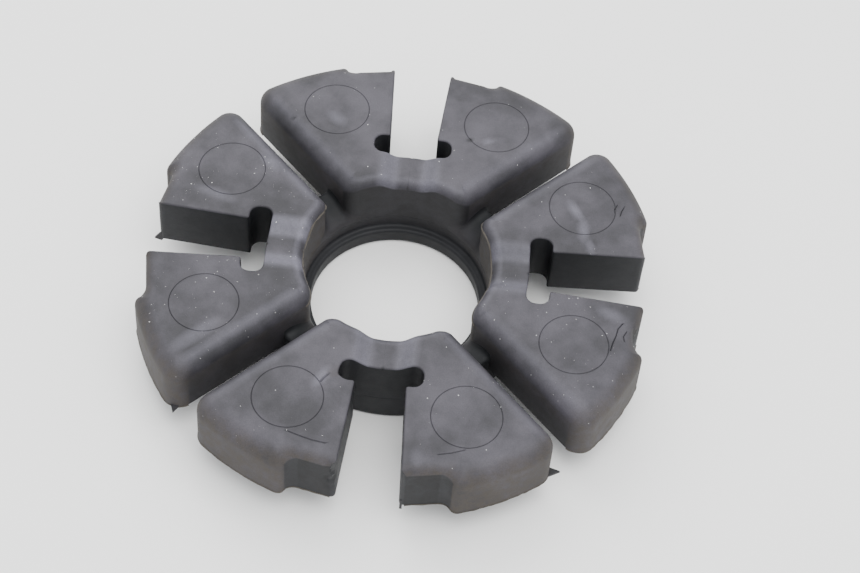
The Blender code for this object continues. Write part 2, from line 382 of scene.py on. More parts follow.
@dataclass(frozen=True)
class RubberFinish:
    """Aged black rubber: a grey waxy film on top with painted sheen on the ramps and rounded edges, road dust
    on the outside, and painted shade that darkens the slots, hollows, gaps and grooves.
    """

    name: str
    body: Colour = (0.022, 0.021, 0.024)
    lighter: Colour = (0.060, 0.056, 0.066)
    # Pale grey of the waxy film and scuffs, also painted sheen on the ramps and rounded edges.
    bloom: Colour = (0.145, 0.140, 0.170)
    dust: Colour = (0.050, 0.042, 0.034)
    # Near black, painted shade for the slots, hollows, gaps, underside and band.
    painted_shade: Colour = (0.004, 0.005, 0.006)
    # Dark, painted shade in grooves, cuts and torn dents.
    painted_crease_colour: Colour = (0.012, 0.012, 0.013)
    speck: Colour = (0.42, 0.42, 0.42)
    roughness: float = 0.56
    specular: float = 0.30
    cloud_pitch: float = 16 * MM
    mottle_pitch: float = 2.2 * MM
    grain_pitch: float = 0.35 * MM
    speck_pitch: float = 2.6 * MM
    grain_depth: float = 0.035 * MM
    mottle_depth: float = 0.10 * MM

    def material(self) -> bpy.types.Material:
        """Builds the finish.

        Returns:
            A material that reads the surface's marks and Object coordinates.
        """
        made = bpy.data.materials.new(self.name)
        made.use_nodes = True
        tree = Tree(made.node_tree)
        shader = made.node_tree.nodes["Principled BSDF"]
        place = tree.add("ShaderNodeTexCoord").outputs["Object"]
        cloud = tree.noise(place, self.cloud_pitch, 4.0, 0.6).outputs["Fac"]
        mottle = tree.noise(place, self.mottle_pitch, 5.0, 0.65, 3.0).outputs["Fac"]
        grain = tree.noise(place, self.grain_pitch, 3.0, 0.6, 7.0).outputs["Fac"]

        colour = tree.blend(tree.fit(cloud, 0.30, 0.70), self.body, self.lighter)
        ragged = tree.maths("MULTIPLY_ADD", tree.maths("SUBTRACT", mottle, 0.5), 0.8, 0.5)
        # The pale film and scuffs, with painted sheen where the ramps and rounded edges catch the light.
        bloom = tree.maths("MULTIPLY", tree.mark("bloom"), tree.fit(ragged, 0.15, 0.75, 0.45, 1.0))
        colour = tree.blend(bloom, colour, self.bloom)
        settled = tree.maths("MULTIPLY", tree.mark("dust"), tree.fit(mottle, 0.28, 0.66, 0.25, 1.0))
        colour = tree.blend(settled, colour, self.dust)
        # Painted shade: the shade mark darkens the rubber towards near black.
        colour = tree.blend(tree.mark("shade"), colour, self.painted_shade)
        colour = tree.blend(self._specks(tree, place, cloud), colour, self.speck)
        # Painted shade in grooves, cuts and torn dents.
        colour = tree.blend(tree.mark("crease_shade"), colour, self.painted_crease_colour)
        fine = tree.fit(grain, 0.25, 0.75, 0.86, 1.14)
        toned = tree.add("ShaderNodeVectorMath", {0: colour, "Scale": fine}, operation="SCALE")
        tree.tree.links.new(toned.outputs[0], shader.inputs["Base Color"])

        rough = tree.maths("MULTIPLY_ADD", mottle, 0.22, self.roughness - 0.11)
        rough = tree.maths("MULTIPLY_ADD", tree.mark("dust"), 0.20, rough, clamp=True)
        tree.tree.links.new(rough, shader.inputs["Roughness"])
        shader.inputs["Specular IOR Level"].default_value = self.specular
        self._relief(tree, shader, grain, mottle)
        return made

    def _specks(self, tree: Tree, place: bpy.types.NodeSocket,
                cloud: bpy.types.NodeSocket) -> bpy.types.NodeSocket:
        """Tiny pale flecks, some in each cell, only where the surface faces up.

        Args:
            tree: the finish's tree.
            place: Object coordinates.
            cloud: the noise that thins them out.

        Returns:
            The flecks' share.
        """
        cells = tree.add("ShaderNodeTexVoronoi", {"Vector": place, "Scale": 1.0 / self.speck_pitch})
        lone = tree.fit(cells.outputs["Distance"], 0.045, 0.075, 1.0, 0.0)
        kept = tree.add("ShaderNodeSeparateXYZ", {0: cells.outputs["Color"]})
        some = tree.maths("GREATER_THAN", kept.outputs["X"], tree.fit(cloud, 0.35, 0.75, 0.94, 0.60))
        normal = tree.add("ShaderNodeSeparateXYZ", {0: tree.add("ShaderNodeNewGeometry").outputs["Normal"]})
        upward = tree.fit(normal.outputs["Z"], 0.2, 0.8)
        return tree.maths("MULTIPLY", tree.maths("MULTIPLY", lone, some),
                          tree.maths("MULTIPLY", upward, kept.outputs["Y"]))

    def _relief(self, tree: Tree, shader: bpy.types.Node, grain: bpy.types.NodeSocket,
                mottle: bpy.types.NodeSocket) -> None:
        """Adds the skin's fine grain and its soft unevenness to the shader's normal.

        Args:
            tree: the finish's tree.
            shader: the Principled BSDF.
            grain: the fine noise.
            mottle: the soft noise.
        """
        soft = tree.add("ShaderNodeBump", {"Strength": 0.5, "Distance": self.mottle_depth, "Height": mottle})
        fine = tree.add("ShaderNodeBump", {"Strength": 0.6, "Distance": self.grain_depth, "Height": grain,
                                           "Normal": soft.outputs[0]})
        tree.tree.links.new(fine.outputs[0], shader.inputs["Normal"])


@dataclass(frozen=True)
class GritFinish:
    """Pale dust and lint."""

    name: str
    dark: Colour = (0.30, 0.29, 0.28)
    light: Colour = (0.75, 0.75, 0.74)
    roughness: float = 0.9
    pitch: float = 1.5 * MM

    def material(self) -> bpy.types.Material:
        """Builds the finish."""
        made = bpy.data.materials.new(self.name)
        made.use_nodes = True
        tree = Tree(made.node_tree)
        shader = made.node_tree.nodes["Principled BSDF"]
        place = tree.add("ShaderNodeTexCoord").outputs["Object"]
        share = tree.noise(place, self.pitch, 2.0).outputs["Fac"]
        tree.tree.links.new(tree.blend(tree.fit(share, 0.35, 0.65), self.dark, self.light),
                            shader.inputs["Base Color"])
        shader.inputs["Roughness"].default_value = self.roughness
        return made


@dataclass(frozen=True)
class FloorFinish:
    """A plain pale bench top."""

    name: str
    colour: Colour = (0.90, 0.895, 0.875)
    roughness: float = 0.5

    def material(self) -> bpy.types.Material:
        """Builds the finish."""
        made = bpy.data.materials.new(self.name)
        made.use_nodes = True
        shader = made.node_tree.nodes["Principled BSDF"]
        shader.inputs["Base Color"].default_value = (*self.colour, 1.0)
        shader.inputs["Roughness"].default_value = self.roughness
        return made


# ---------------------------------------------------------------- plan outlines


@dataclass(frozen=True)
class Station:
    """One point of a plan outline, on the edge that runs on from it."""

    u: float
    v: float
    edge: Edge
    fillet: float


def arc(centre: Point, radius: float, start: float, end: float, count: int) -> list[Point]:
    """Points on an arc, both ends included."""
    turns = (start + (end - start) * i / count for i in range(count + 1))
    return [(centre[0] + radius * math.cos(a), centre[1] + radius * math.sin(a)) for a in turns]


def straight(start: Point, end: Point, count: int) -> list[Point]:
    """Evenly spaced points on a line, both ends included."""
    return [(start[0] + (end[0] - start[0]) * i / count, start[1] + (end[1] - start[1]) * i / count)
            for i in range(count + 1)]


def angle_of(point: Point, centre: Point = (0.0, 0.0)) -> float:
    """Direction of a point from a centre."""
    return math.atan2(point[1] - centre[1], point[0] - centre[0])


def circle_meeting(centre: Point, radius: float, big_r: float) -> Point:
    """Where a circle meets the circle of radius big_r about the origin, on the side of larger V.

    Args:
        centre: the circle's centre.
        radius: the circle's radius.
        big_r: radius of the circle about the origin.

    Returns:
        The meeting point.
    """
    distance = math.hypot(*centre)
    along = (distance ** 2 + big_r ** 2 - radius ** 2) / (2 * distance)
    across = math.sqrt(big_r ** 2 - along ** 2)
    ux, uy = centre[0] / distance, centre[1] / distance
    return ux * along - uy * across, uy * along + ux * across


@dataclass(frozen=True)
class LobePlan:
    """Sizes of one lobe and its half of the bridge, at +V of the slot."""

    ring_outer_r: float
    foot: float
    height: float
    outer_r: float = 71.5 * MM
    outer_draft: float = 0.3 * MM
    bore_r: float = 25.7 * MM
    bridge_drop: float = 2.0 * MM
    ramp_outer_v: float = 8.4 * MM
    ramp_inner_v: float = 3.4 * MM
    slot_half_root: float = 6.6 * MM
    slot_root_u: float = 41.7 * MM
    slot_flare: float = 0.0628
    relief_r: float = 2.6 * MM
    relief_u: float = 38.4 * MM
    relief_v: float = 8.3 * MM
    relief_flat: float = 1.0 * MM
    gap_half: float = 3.5 * MM
    slot_corner_r: float = 1.2 * MM
    root_corner_r: float = 0.6 * MM
    hollow_r: float = 3.0 * MM
    hollow_u: float = 68.35 * MM
    hollow_v: float = 18.8 * MM
    step_r: float = 2.0 * MM
    end_slope: float = 0.19
    corner_r: float = 4.8 * MM
    top_fillet: float = 4.6 * MM
    hollow_fillet: float = 2.4 * MM
    edge_fillet: float = 0.5 * MM
    bore_fillet: float = 2.7 * MM
    nose_r: float = 3.6 * MM
    nose_depth: float = 2.8 * MM
    witness_r: float = 9.17 * MM
    witness_at: float = 53.85 * MM
    witness_turn: float = math.radians(25.13)
    spacing: float = 0.7 * MM

    ROOT_STEPS = 3
    SLOT_CORNER_STEPS = 5
    HOLLOW_STEPS = 10
    HOLLOW_CORNER_STEPS = 4
    OUTER_SWEEP = 0.3       # about how far each arc turns, in radians, which sets its number of steps
    CORNER_SWEEP = 2.0
    NOSE_SWEEP = 1.3

    def slot_wall_v(self, u: float) -> float:
        """Half the slot's width at this distance from the axis."""
        return self.slot_half_root + self.slot_flare * (u - self.slot_root_u)

    def gap_wall(self, radius: float) -> Point:
        """The point at this radius on the wall of the gap."""
        along = math.sqrt(radius ** 2 - self.gap_half ** 2)
        u, v = math.cos(DIAGONAL), math.sin(DIAGONAL)
        return u * along + v * self.gap_half, v * along - u * self.gap_half

    def steps(self, length: float) -> int:
        """How many steps a stretch of this length takes."""
        return max(1, round(length / self.spacing))

    def witness_centre(self) -> Point:
        """Centre of the round witness mark on top."""
        return (self.witness_at * math.cos(self.witness_turn), self.witness_at * math.sin(self.witness_turn))

    def outline(self, rise: float) -> list[Station]:
        """The outline, counterclockwise, with as many points at any height.

        Args:
            rise: 0 at the foot and 1 at the top, where the faces have leant in by all of their draft.

        Returns:
            The stations, from the bore at the slot plane and round by the slot and the gap.
        """
        rows: list[Station] = []

        def add(points: list[Point], edge: Edge, start: float, end: float | None = None) -> None:
            """Adds all but the last point, with a fillet that grades from start to end."""
            last = len(points) - 1
            grade = (end if end is not None else start) - start
            rows.extend(Station(*points[i], edge, start + grade * i / last) for i in range(last))

        self._root(add)
        self._end_faces(add, rise)
        self._gap_side(add, rise)
        return rows

    def _root(self, add: AddRows) -> None:
        """Slot plane, bridge, relief and the start of the drive face.

        Args:
            add: takes the points, their edge and the fillet that they start with.
        """
        ring_r = self.ring_outer_r
        add(straight((self.bore_r, 0.0), (ring_r, 0.0), self.steps(ring_r - self.bore_r)), Edge.SEAM,
            self.bore_fillet, self.edge_fillet)
        near = (self.relief_u - self.relief_flat / 2, self.relief_v)
        far = (self.relief_u + self.relief_flat / 2, self.relief_v)
        reach = math.hypot(*near)
        leave = angle_of(near) - math.acos((ring_r + self.relief_r) / reach)
        bridge = arc((0.0, 0.0), ring_r, 0.0, leave, self.steps(ring_r * leave))
        sweep = self.relief_r * QUARTER
        relief = arc(near, self.relief_r, leave + math.pi, QUARTER, self.steps(sweep))
        bridge += straight(bridge[-1], relief[0], self.steps(math.dist(bridge[-1], relief[0])))[1:]
        add(bridge, Edge.BRIDGE, self.edge_fillet)
        relief += arc(far, self.relief_r, QUARTER, 0.0, self.steps(sweep))
        wall_u, r = far[0] + self.relief_r, self.root_corner_r
        wall_v = self.slot_wall_v(wall_u + r)
        relief += straight((wall_u, self.relief_v), (wall_u, wall_v + r), 2)[1:]
        add(relief, Edge.RELIEF, self.edge_fillet)
        add(arc((wall_u + r, wall_v + r), r, math.pi, 1.5 * math.pi, self.ROOT_STEPS), Edge.RELIEF,
            self.edge_fillet)

    def _hollow(self, rise: float) -> tuple[Point, Point]:
        """Centres of the hollow and of the corner between it and the outer face."""
        centre = (self.hollow_u - self.outer_draft * rise, self.hollow_v)
        outer_r = self.outer_r - self.outer_draft * rise
        return centre, circle_meeting(centre, self.hollow_r + self.step_r, outer_r - self.step_r)

    def _slot_corner(self, end_point: Point) -> Point:
        """Centre of the corner that touches both the drive face and the end face.

        Args:
            end_point: any point of the end face.

        Returns:
            The centre.
        """
        tilt, end_tilt = math.atan(self.slot_flare), math.atan(self.end_slope)
        wall = math.cos(tilt) * self.slot_wall_v(0.0) + self.slot_corner_r
        end = math.cos(end_tilt) * end_point[0] + math.sin(end_tilt) * end_point[1] - self.slot_corner_r
        size = math.cos(end_tilt - tilt)
        return ((end * math.cos(tilt) - wall * math.sin(end_tilt)) / size,
                (wall * math.cos(end_tilt) + end * math.sin(tilt)) / size)

    def _end_faces(self, add: AddRows, rise: float) -> None:
        """Drive face, corner, end face and hollow.

        Args:
            add: takes the points, their edge and the fillet that they start with.
            rise: share of the height, 0 at the foot.
        """
        tilt, end_tilt = math.atan(self.slot_flare), math.atan(self.end_slope)
        hollow, step = self._hollow(rise)
        step_turn = angle_of(step, hollow)
        bowl = arc(hollow, self.hollow_r, math.pi + end_tilt, step_turn, self.HOLLOW_STEPS)
        root_u = self.relief_u + self.relief_flat / 2 + self.relief_r + self.root_corner_r
        turned = arc(self._slot_corner(bowl[0]), self.slot_corner_r, tilt - QUARTER, end_tilt,
                     self.SLOT_CORNER_STEPS)
        slot_length = self.hollow_u - self.hollow_r - root_u
        end_length = self.hollow_v - self.slot_half_root - 2 * self.slot_corner_r
        add(straight((root_u, self.slot_wall_v(root_u)), turned[0], self.steps(slot_length)), Edge.SLOT,
            self.edge_fillet)
        add(turned, Edge.SLOT, self.edge_fillet)
        add(straight(turned[-1], bowl[0], self.steps(end_length)), Edge.END, self.hollow_fillet)
        add(bowl, Edge.HOLLOW, self.hollow_fillet, self.top_fillet)
        add(arc(step, self.step_r, step_turn - math.pi, angle_of(step), self.HOLLOW_CORNER_STEPS), Edge.OUTER,
            self.top_fillet)

    def _gap_side(self, add: AddRows, rise: float) -> None:
        """Outer face, corner, gap wall, nose and bore.

        Args:
            add: takes the points, their edge and the fillet that they start with.
            rise: share of the height, 0 at the foot.
        """
        outer_r = self.outer_r - self.outer_draft * rise
        offset = self.gap_half + self.corner_r
        along = math.sqrt((outer_r - self.corner_r) ** 2 - offset ** 2)
        u, v = math.cos(DIAGONAL), math.sin(DIAGONAL)
        centre = (u * along + v * offset, v * along - u * offset)
        start, end = angle_of(self._hollow(rise)[1]), angle_of(centre)
        add(arc((0.0, 0.0), outer_r, start, end, self.steps(self.outer_r * self.OUTER_SWEEP)), Edge.OUTER,
            self.top_fillet)
        turned = arc(centre, self.corner_r, end, DIAGONAL + QUARTER,
                     self.steps(self.corner_r * self.CORNER_SWEEP))
        add(turned, Edge.OUTER, self.top_fillet)
        nose_start = self.gap_wall(self.bore_r + self.nose_depth)
        length = self.outer_r - self.bore_r - self.nose_depth - self.corner_r
        add(straight(turned[-1], nose_start, self.steps(length)), Edge.GAP, self.top_fillet)
        add(self.nose(), Edge.BORE, self.top_fillet, self.bore_fillet)
        end_turn = self._nose_end_turn()
        add(arc((0.0, 0.0), self.bore_r, end_turn, 0.0, self.steps(self.bore_r * end_turn)), Edge.BORE,
            self.bore_fillet)

    def _nose_end_turn(self) -> float:
        """Angle from the slot at which the nose has run out into the bore."""
        return angle_of(self.gap_wall(self.bore_r)) - self.nose_r / self.bore_r

    def nose(self) -> list[Point]:
        """The rounded upright corner where the gap's wall turns into the bore, from the gap inwards."""
        wall_turn = angle_of(self.gap_wall(self.bore_r))
        wall_shift = angle_of(self.gap_wall(self.bore_r + self.nose_depth)) - wall_turn
        points = []
        count = self.steps(self.nose_r * self.NOSE_SWEEP)
        for i in range(count + 1):
            a = QUARTER * i / count
            radius = self.bore_r + self.nose_depth * (1 - math.sin(a))
            back = self.nose_r / self.bore_r * (1 - math.cos(a))
            turn = wall_turn + wall_shift * (1 - math.sin(a)) - back
            points.append((radius * math.cos(turn), radius * math.sin(turn)))
        return points


# ---------------------------------------------------------------- surfaces


def smooth(value: np.ndarray, low: float, high: float) -> np.ndarray:
    """Eases from 0 at low to 1 at high."""
    t = np.clip((value - low) / (high - low), 0.0, 1.0)
    return t * t * (3 - 2 * t)


def nearest(points: np.ndarray, line: np.ndarray, values: np.ndarray) -> tuple[np.ndarray, np.ndarray]:
    """Distance of each point to an open line, and the line's value at the nearest place.

    Args:
        points: N by 2.
        line: M by 2, the line's corners.
        values: M, one at each corner.

    Returns:
        The distances and the values, N each.
    """
    start, step = line[:-1], np.diff(line, axis=0)
    share = np.einsum("nmk,mk->nm", points[:, None] - start, step) / np.maximum((step ** 2).sum(1), 1e-18)
    share = np.clip(share, 0.0, 1.0)
    gap = np.linalg.norm(points[:, None] - start - share[..., None] * step, axis=2)
    best = gap.argmin(axis=1)
    row = np.arange(len(points))
    t = share[row, best]
    return gap[row, best], values[best] * (1 - t) + values[best + 1] * t


class TopSurface:
    """Height and marks of a lobe's top at any point of its plan."""

    SPREAD = 1.15       # how much wider than deep a top fillet is
    SHARPNESS = 8.0     # how tightly two fillets mitre where they meet

    def __init__(self, plan: LobePlan, stations: list[Station]) -> None:
        """Sorts the outline's edges into lines that each keep one fillet."""
        self.plan = plan
        self.stations = stations
        self.lines = {
            "end": self._line({Edge.END, Edge.HOLLOW}),
            "sharp": self._line({Edge.BRIDGE, Edge.RELIEF, Edge.SLOT}),
            "round": self._line({Edge.OUTER, Edge.GAP, Edge.BORE}),
        }

    def _line(self, edges: set[Edge]) -> tuple[np.ndarray, np.ndarray]:
        """The stretch of outline with these edges, on to the station after it, and its fillets."""
        chosen = [i for i, station in enumerate(self.stations) if station.edge in edges]
        last = (chosen[-1] + 1) % len(self.stations)
        points = [(self.stations[i].u, self.stations[i].v) for i in [*chosen, last]]
        fillets = [self.stations[i].fillet for i in chosen]
        return np.array(points), np.array([*fillets, fillets[-1]])

    def near(self, points: np.ndarray, name: str) -> tuple[np.ndarray, np.ndarray]:
        """Distance to one line, and how much of its fillet is left there, from 1 at the edge to 0.

        Args:
            points: N by 2.
            name: the line's name.

        Returns:
            The distances and the shares, N each.
        """
        distance, fillet = nearest(points, *self.lines[name])
        return distance, np.clip(1 - distance / (fillet * self.SPREAD), 0.0, 1.0)

    def height(self, points: np.ndarray) -> np.ndarray:
        """Height of the top at each point.

        Args:
            points: N by 2.

        Returns:
            N heights.
        """
        total = np.zeros(len(points))
        for line in self.lines.values():
            distance, fillet = nearest(points, *line)
            x = np.clip(1 - distance / (fillet * self.SPREAD), 0.0, 1.0)
            total += (fillet * (1 - np.sqrt(1 - x ** 2))) ** self.SHARPNESS
        return self.plan.height - self.low_bridge(points) - total ** (1 / self.SHARPNESS)

    def low_bridge(self, points: np.ndarray) -> np.ndarray:
        """How far the bridge's low middle lies below the lobes' tops."""
        plan = self.plan
        ramp = smooth(np.abs(points[:, 1]), plan.ramp_inner_v, plan.ramp_outer_v)
        return plan.bridge_drop * (1 - ramp) * (points[:, 0] < plan.relief_u)

    def marks(self, points: np.ndarray) -> dict[str, np.ndarray]:
        """How strongly each mark shows at each point of the top.

        Args:
            points: N by 2.

        Returns:
            N strengths, by the mark's name.
        """
        plan = self.plan
        v = np.abs(points[:, 1])
        on_bridge = 1.0 - smooth(np.hypot(*points.T), plan.ring_outer_r, plan.ring_outer_r + 1.5 * MM)
        # The bridge ramps and a band along the rounded edges are made paler: painted sheen where these slopes
        # catch the light.
        ramp = smooth(v, plan.ramp_inner_v - 1.5 * MM, plan.ramp_inner_v + 1.2 * MM)
        ramp *= 1 - smooth(v, plan.ramp_outer_v - 1.6 * MM, plan.ramp_outer_v + 1.2 * MM)
        _, round_left = self.near(points, "round")
        _, end_left = self.near(points, "end")
        edge_band = np.sin(np.pi * np.clip(round_left * 1.3, 0.0, 1.0)) ** 2
        outward = smooth(np.hypot(*points.T), plan.outer_r - 9 * MM, plan.outer_r - 2 * MM)
        return {
            "bloom": np.clip(0.75 * ramp * on_bridge + 0.35 * edge_band * (1 - outward), 0.0, 1.0),
            "dust": np.clip(0.85 * np.maximum(round_left * outward, end_left) ** 1.5, 0.0, 1.0),
            "crease_shade": np.zeros(len(points)),
            "shade": np.zeros(len(points)),
        }


@dataclass(frozen=True)
class Groove:
    """A line pressed or torn into the top, such as a witness ring, a crease or a split, with painted shade in
    its floor.
    """

    path: tuple[Point, ...]
    width: float = 0.36 * MM
    depth: float = 0.16 * MM
    closed: bool = False
    # How dark the painted shade in the groove's floor is.
    darkness: float = 0.55

    def line(self, shift: float) -> np.ndarray:
        """The path moved sideways by this much.

        Args:
            shift: how far, to the left of the way it runs.

        Returns:
            Its corners, N by 2.
        """
        points = np.array(self.path)
        if self.closed:
            along = np.roll(points, -1, axis=0) - np.roll(points, 1, axis=0)
        else:
            along = np.gradient(points, axis=0)
        along /= np.linalg.norm(along, axis=1)[:, None]
        return points + shift * np.stack([-along[:, 1], along[:, 0]], axis=1)


@dataclass(frozen=True)
class Dent:
    """A place where rubber is torn away, worn or pressed in."""

    at: Place
    size: Place
    depth: float
    dust: float = 0.0
    # Painted shade in the dent's floor.
    crease_shade: float = 0.0
    seed: float = 0.0


@dataclass(frozen=True)
class Smear:
    """A pale scuff across the top."""

    at: Point
    size: Point
    turn: float = 0.0
    strength: float = 0.6


@dataclass(frozen=True)
class Wear:
    """What age has done to one lobe; places are at U and V of its slot, as if it stood at +V."""

    grooves: tuple[Groove, ...] = ()
    dents: tuple[Dent, ...] = ()
    smears: tuple[Smear, ...] = ()
    # How strong the pale film and the painted sheen are on this lobe's top.
    bloom: float = 0.6
    grittiness: float = 0.7


def mm(*sizes: float) -> tuple[float, ...]:
    """A size or a place given in millimetres."""
    return tuple(size * MM for size in sizes)


def trace(*points: Point) -> tuple[Point, ...]:
    """The points of a line, given in millimetres."""
    return tuple(mm(*point) for point in points)


def nick(*at: float) -> Dent:
    """A small cut with painted shade in it, at a place given in millimetres."""
    return Dent(mm(*at), mm(0.9, 0.9, 0.9), 0.5 * MM, crease_shade=0.9)


WEAR: dict[str, Wear] = {
    "lobe_front_left": Wear(
        grooves=(
            Groove(trace((58.7, 22.0), (59.9, 18.1), (60.7, 15.0), (61.1, 11.6)), *mm(0.5, 0.22),
                   darkness=0.25),
            Groove(trace((43.2, 15.2), (41.7, 14.3), (40.2, 13.2)), *mm(0.8, 0.4), darkness=0.3),
        ),
        dents=(
            Dent(mm(67.4, 8.9, 18.5), mm(3.4, 2.8, 9.0), 1.1 * MM, dust=0.1, crease_shade=0.35, seed=4.0),
            Dent(mm(39.4, 12.0, 25.0), mm(2.2, 2.6, 2.0), 0.6 * MM, dust=0.3, seed=9.0),
        ),
        smears=(Smear(mm(41.5, 15.0), mm(4.5, 1.8), 0.5, 0.7),),
    ),
    "lobe_front_right": Wear(
        grooves=(Groove(trace((60.6, 17.0), (59.8, 20.1), (58.5, 23.2)), *mm(0.45, 0.2), darkness=0.25),),
        smears=(Smear(mm(62.0, 11.5), mm(3.0, 2.0), 0.2, 0.3),),
    ),
    "lobe_right_front": Wear(
        grooves=(
            Groove(trace((61.2, 14.6), (60.1, 16.4), (59.7, 18.6), (58.9, 21.1), (58.4, 23.4)),
                   *mm(0.45, 0.3), darkness=0.45),
            Groove(trace((62.3, 17.2), (61.6, 18.6), (61.9, 20.0)), *mm(0.4, 0.25), darkness=0.4),
        ),
        dents=(
            Dent(mm(66.3, 17.2, 23.2), mm(2.8, 4.2, 5.5), 1.5 * MM, crease_shade=0.7, seed=2.0),
            Dent(mm(69.5, 26.0, 20.0), mm(3.0, 7.0, 3.0), 0.35 * MM, dust=0.3, crease_shade=0.2, seed=6.0),
        ),
        smears=(Smear(mm(58.3, 12.1), mm(5.0, 2.2), 0.4, 0.5),),
        grittiness=1.6,
    ),
    "lobe_right_back": Wear(
        grooves=(
            Groove(trace((58.2, 24.9), (57.6, 23.6), (57.7, 22.4)), *mm(0.45, 0.25), darkness=0.5),
            Groove(trace((60.2, 24.6), (59.6, 23.2), (59.3, 21.8)), *mm(0.4, 0.25), darkness=0.5),
        ),
        smears=(
            Smear(mm(46.9, 21.6), mm(4.6, 1.6), -1.0, 0.75),
            Smear(mm(49.4, 15.2), mm(5.0, 1.9), -1.5, 0.65),
            Smear(mm(51.5, 9.8), mm(3.4, 1.3), -1.3, 0.55),
        ),
    ),
    "lobe_left_back": Wear(
        smears=(
            Smear(mm(52.0, 13.6), mm(7.0, 2.0), 0.3, 0.45),
            Smear(mm(38.5, 27.0), mm(5.0, 2.4), 0.8, 0.6),
        ),
        bloom=1.0,
        grittiness=3.2,
    ),
    "lobe_left_front": Wear(
        smears=(Smear(mm(49.5, 33.5), mm(9.0, 2.6), 0.8, 0.5),),
        bloom=1.0,
        grittiness=2.0,
    ),
    "lobe_back_left": Wear(
        dents=(nick(43.9, 34.9, 25.1),),
        smears=(Smear(mm(45.5, 22.5), mm(4.0, 2.4), 0.9, 0.45),),
    ),
    "lobe_back_right": Wear(
        dents=(nick(42.8, 15.7, 25.1),),
        smears=(Smear(mm(43.0, 21.0), mm(2.4, 1.0), 1.2, 0.6),),
    ),
}


class MeshKit:
    """Vertices, faces and marks of one body while it is being built."""

    def __init__(self) -> None:
        """Starts empty."""
        self.points: list[Place] = []
        self.faces: list[tuple[int, ...]] = []
        self.marks: dict[str, list[float]] = {name: [] for name in MARKS}

    def add(self, points: list[Place], marks: dict[str, object]) -> range:
        """Adds vertices.

        Args:
            points: their places.
            marks: a number for all of them or one for each, by the mark's name.

        Returns:
            The new vertices' numbers.
        """
        first = len(self.points)
        self.points.extend(points)
        for name in MARKS:
            value = marks.get(name, 0.0)
            self.marks[name].extend([value] * len(points) if isinstance(value, (int, float)) else value)
        return range(first, len(self.points))

    def bridge(self, lower: list[int], upper: list[int]) -> None:
        """Joins two closed loops of as many vertices with quads."""
        for i in range(len(lower)):
            j = (i + 1) % len(lower)
            self.faces.append((lower[i], lower[j], upper[j], upper[i]))

    def mesh(self, name: str, mirrored: bool = False) -> bpy.types.Mesh:
        """Makes the mesh, with faces outward and its marks as attributes.

        Args:
            name: the mesh's name.
            mirrored: whether V changes sign.

        Returns:
            The mesh, smooth but for edges over 35 degrees.
        """
        side = -1.0 if mirrored else 1.0
        made = bpy.data.meshes.new(name)
        made.from_pydata([(x, side * y, z) for x, y, z in self.points], [], self.faces)
        for mark, values in self.marks.items():
            made.attributes.new(mark, "FLOAT", "POINT").data.foreach_set("value", values)
        bm = bmesh.new()
        bm.from_mesh(made)
        bmesh.ops.recalc_face_normals(bm, faces=bm.faces)
        bm.to_mesh(made)
        bm.free()
        made.shade_smooth()
        made.set_sharp_from_angle(angle=SHARP_FROM)
        return made


def patched(outline: np.ndarray, inner: np.ndarray, lines: list[np.ndarray]) -> tuple[np.ndarray, list]:
    """Triangulates the inside of an outline.

    Args:
        outline: N by 2, counterclockwise.
        inner: points to take in.
        lines: lines whose segments have to be edges.

    Returns:
        The points, the outline's own first and in order, and the triangles.
    """
    points = [*map(tuple, outline), *map(tuple, inner)]
    count = len(outline)
    edges = [(i, (i + 1) % count) for i in range(count)]
    for line in lines:
        first = len(points)
        points.extend(map(tuple, line))
        edges.extend((first + i, first + i + 1) for i in range(len(line) - 1))
    made, _, faces, sources, _, _ = delaunay_2d_cdt([Vector(p) for p in points], edges, [], 1, 1e-7)
    place = {source: i for i, group in enumerate(sources) for source in group}
    order = [place[i] for i in range(count)]
    rest = [i for i in range(len(made)) if i not in set(order)]
    renumber = {old: new for new, old in enumerate([*order, *rest])}
    points = np.array([made[i][:] for i in [*order, *rest]])
    return points, [tuple(renumber[i] for i in face) for face in faces]


def inside(points: np.ndarray, outline: np.ndarray) -> np.ndarray:
    """Which points lie inside a closed outline, by counting crossings.

    Args:
        points: N by 2.
        outline: its corners, M by 2.

    Returns:
        True or False, N of them.
    """
    x, y = points[:, 0][:, None], points[:, 1][:, None]
    x0, y0 = outline.T
    x1, y1 = np.roll(outline, -1, axis=0).T
    crosses = (y0 > y) != (y1 > y)
    with np.errstate(divide="ignore", invalid="ignore"):
        at = x0 + (y - y0) * (x1 - x0) / (y1 - y0)
    return (crosses & (x < at)).sum(axis=1) % 2 == 1


def inward(outline: np.ndarray) -> np.ndarray:
    """Unit normals of a counterclockwise outline, pointing in.

    Args:
        outline: its corners, N by 2.

    Returns:
        One normal for each corner, N by 2.
    """
    before = outline - np.roll(outline, 1, axis=0)
    after = np.roll(outline, -1, axis=0) - outline
    before /= np.linalg.norm(before, axis=1)[:, None]
    after /= np.linalg.norm(after, axis=1)[:, None]
    along = before + after
    along /= np.maximum(np.linalg.norm(along, axis=1)[:, None], 1e-9)
    return np.stack([-along[:, 1], along[:, 0]], axis=1)


# ---------------------------------------------------------------- lobes


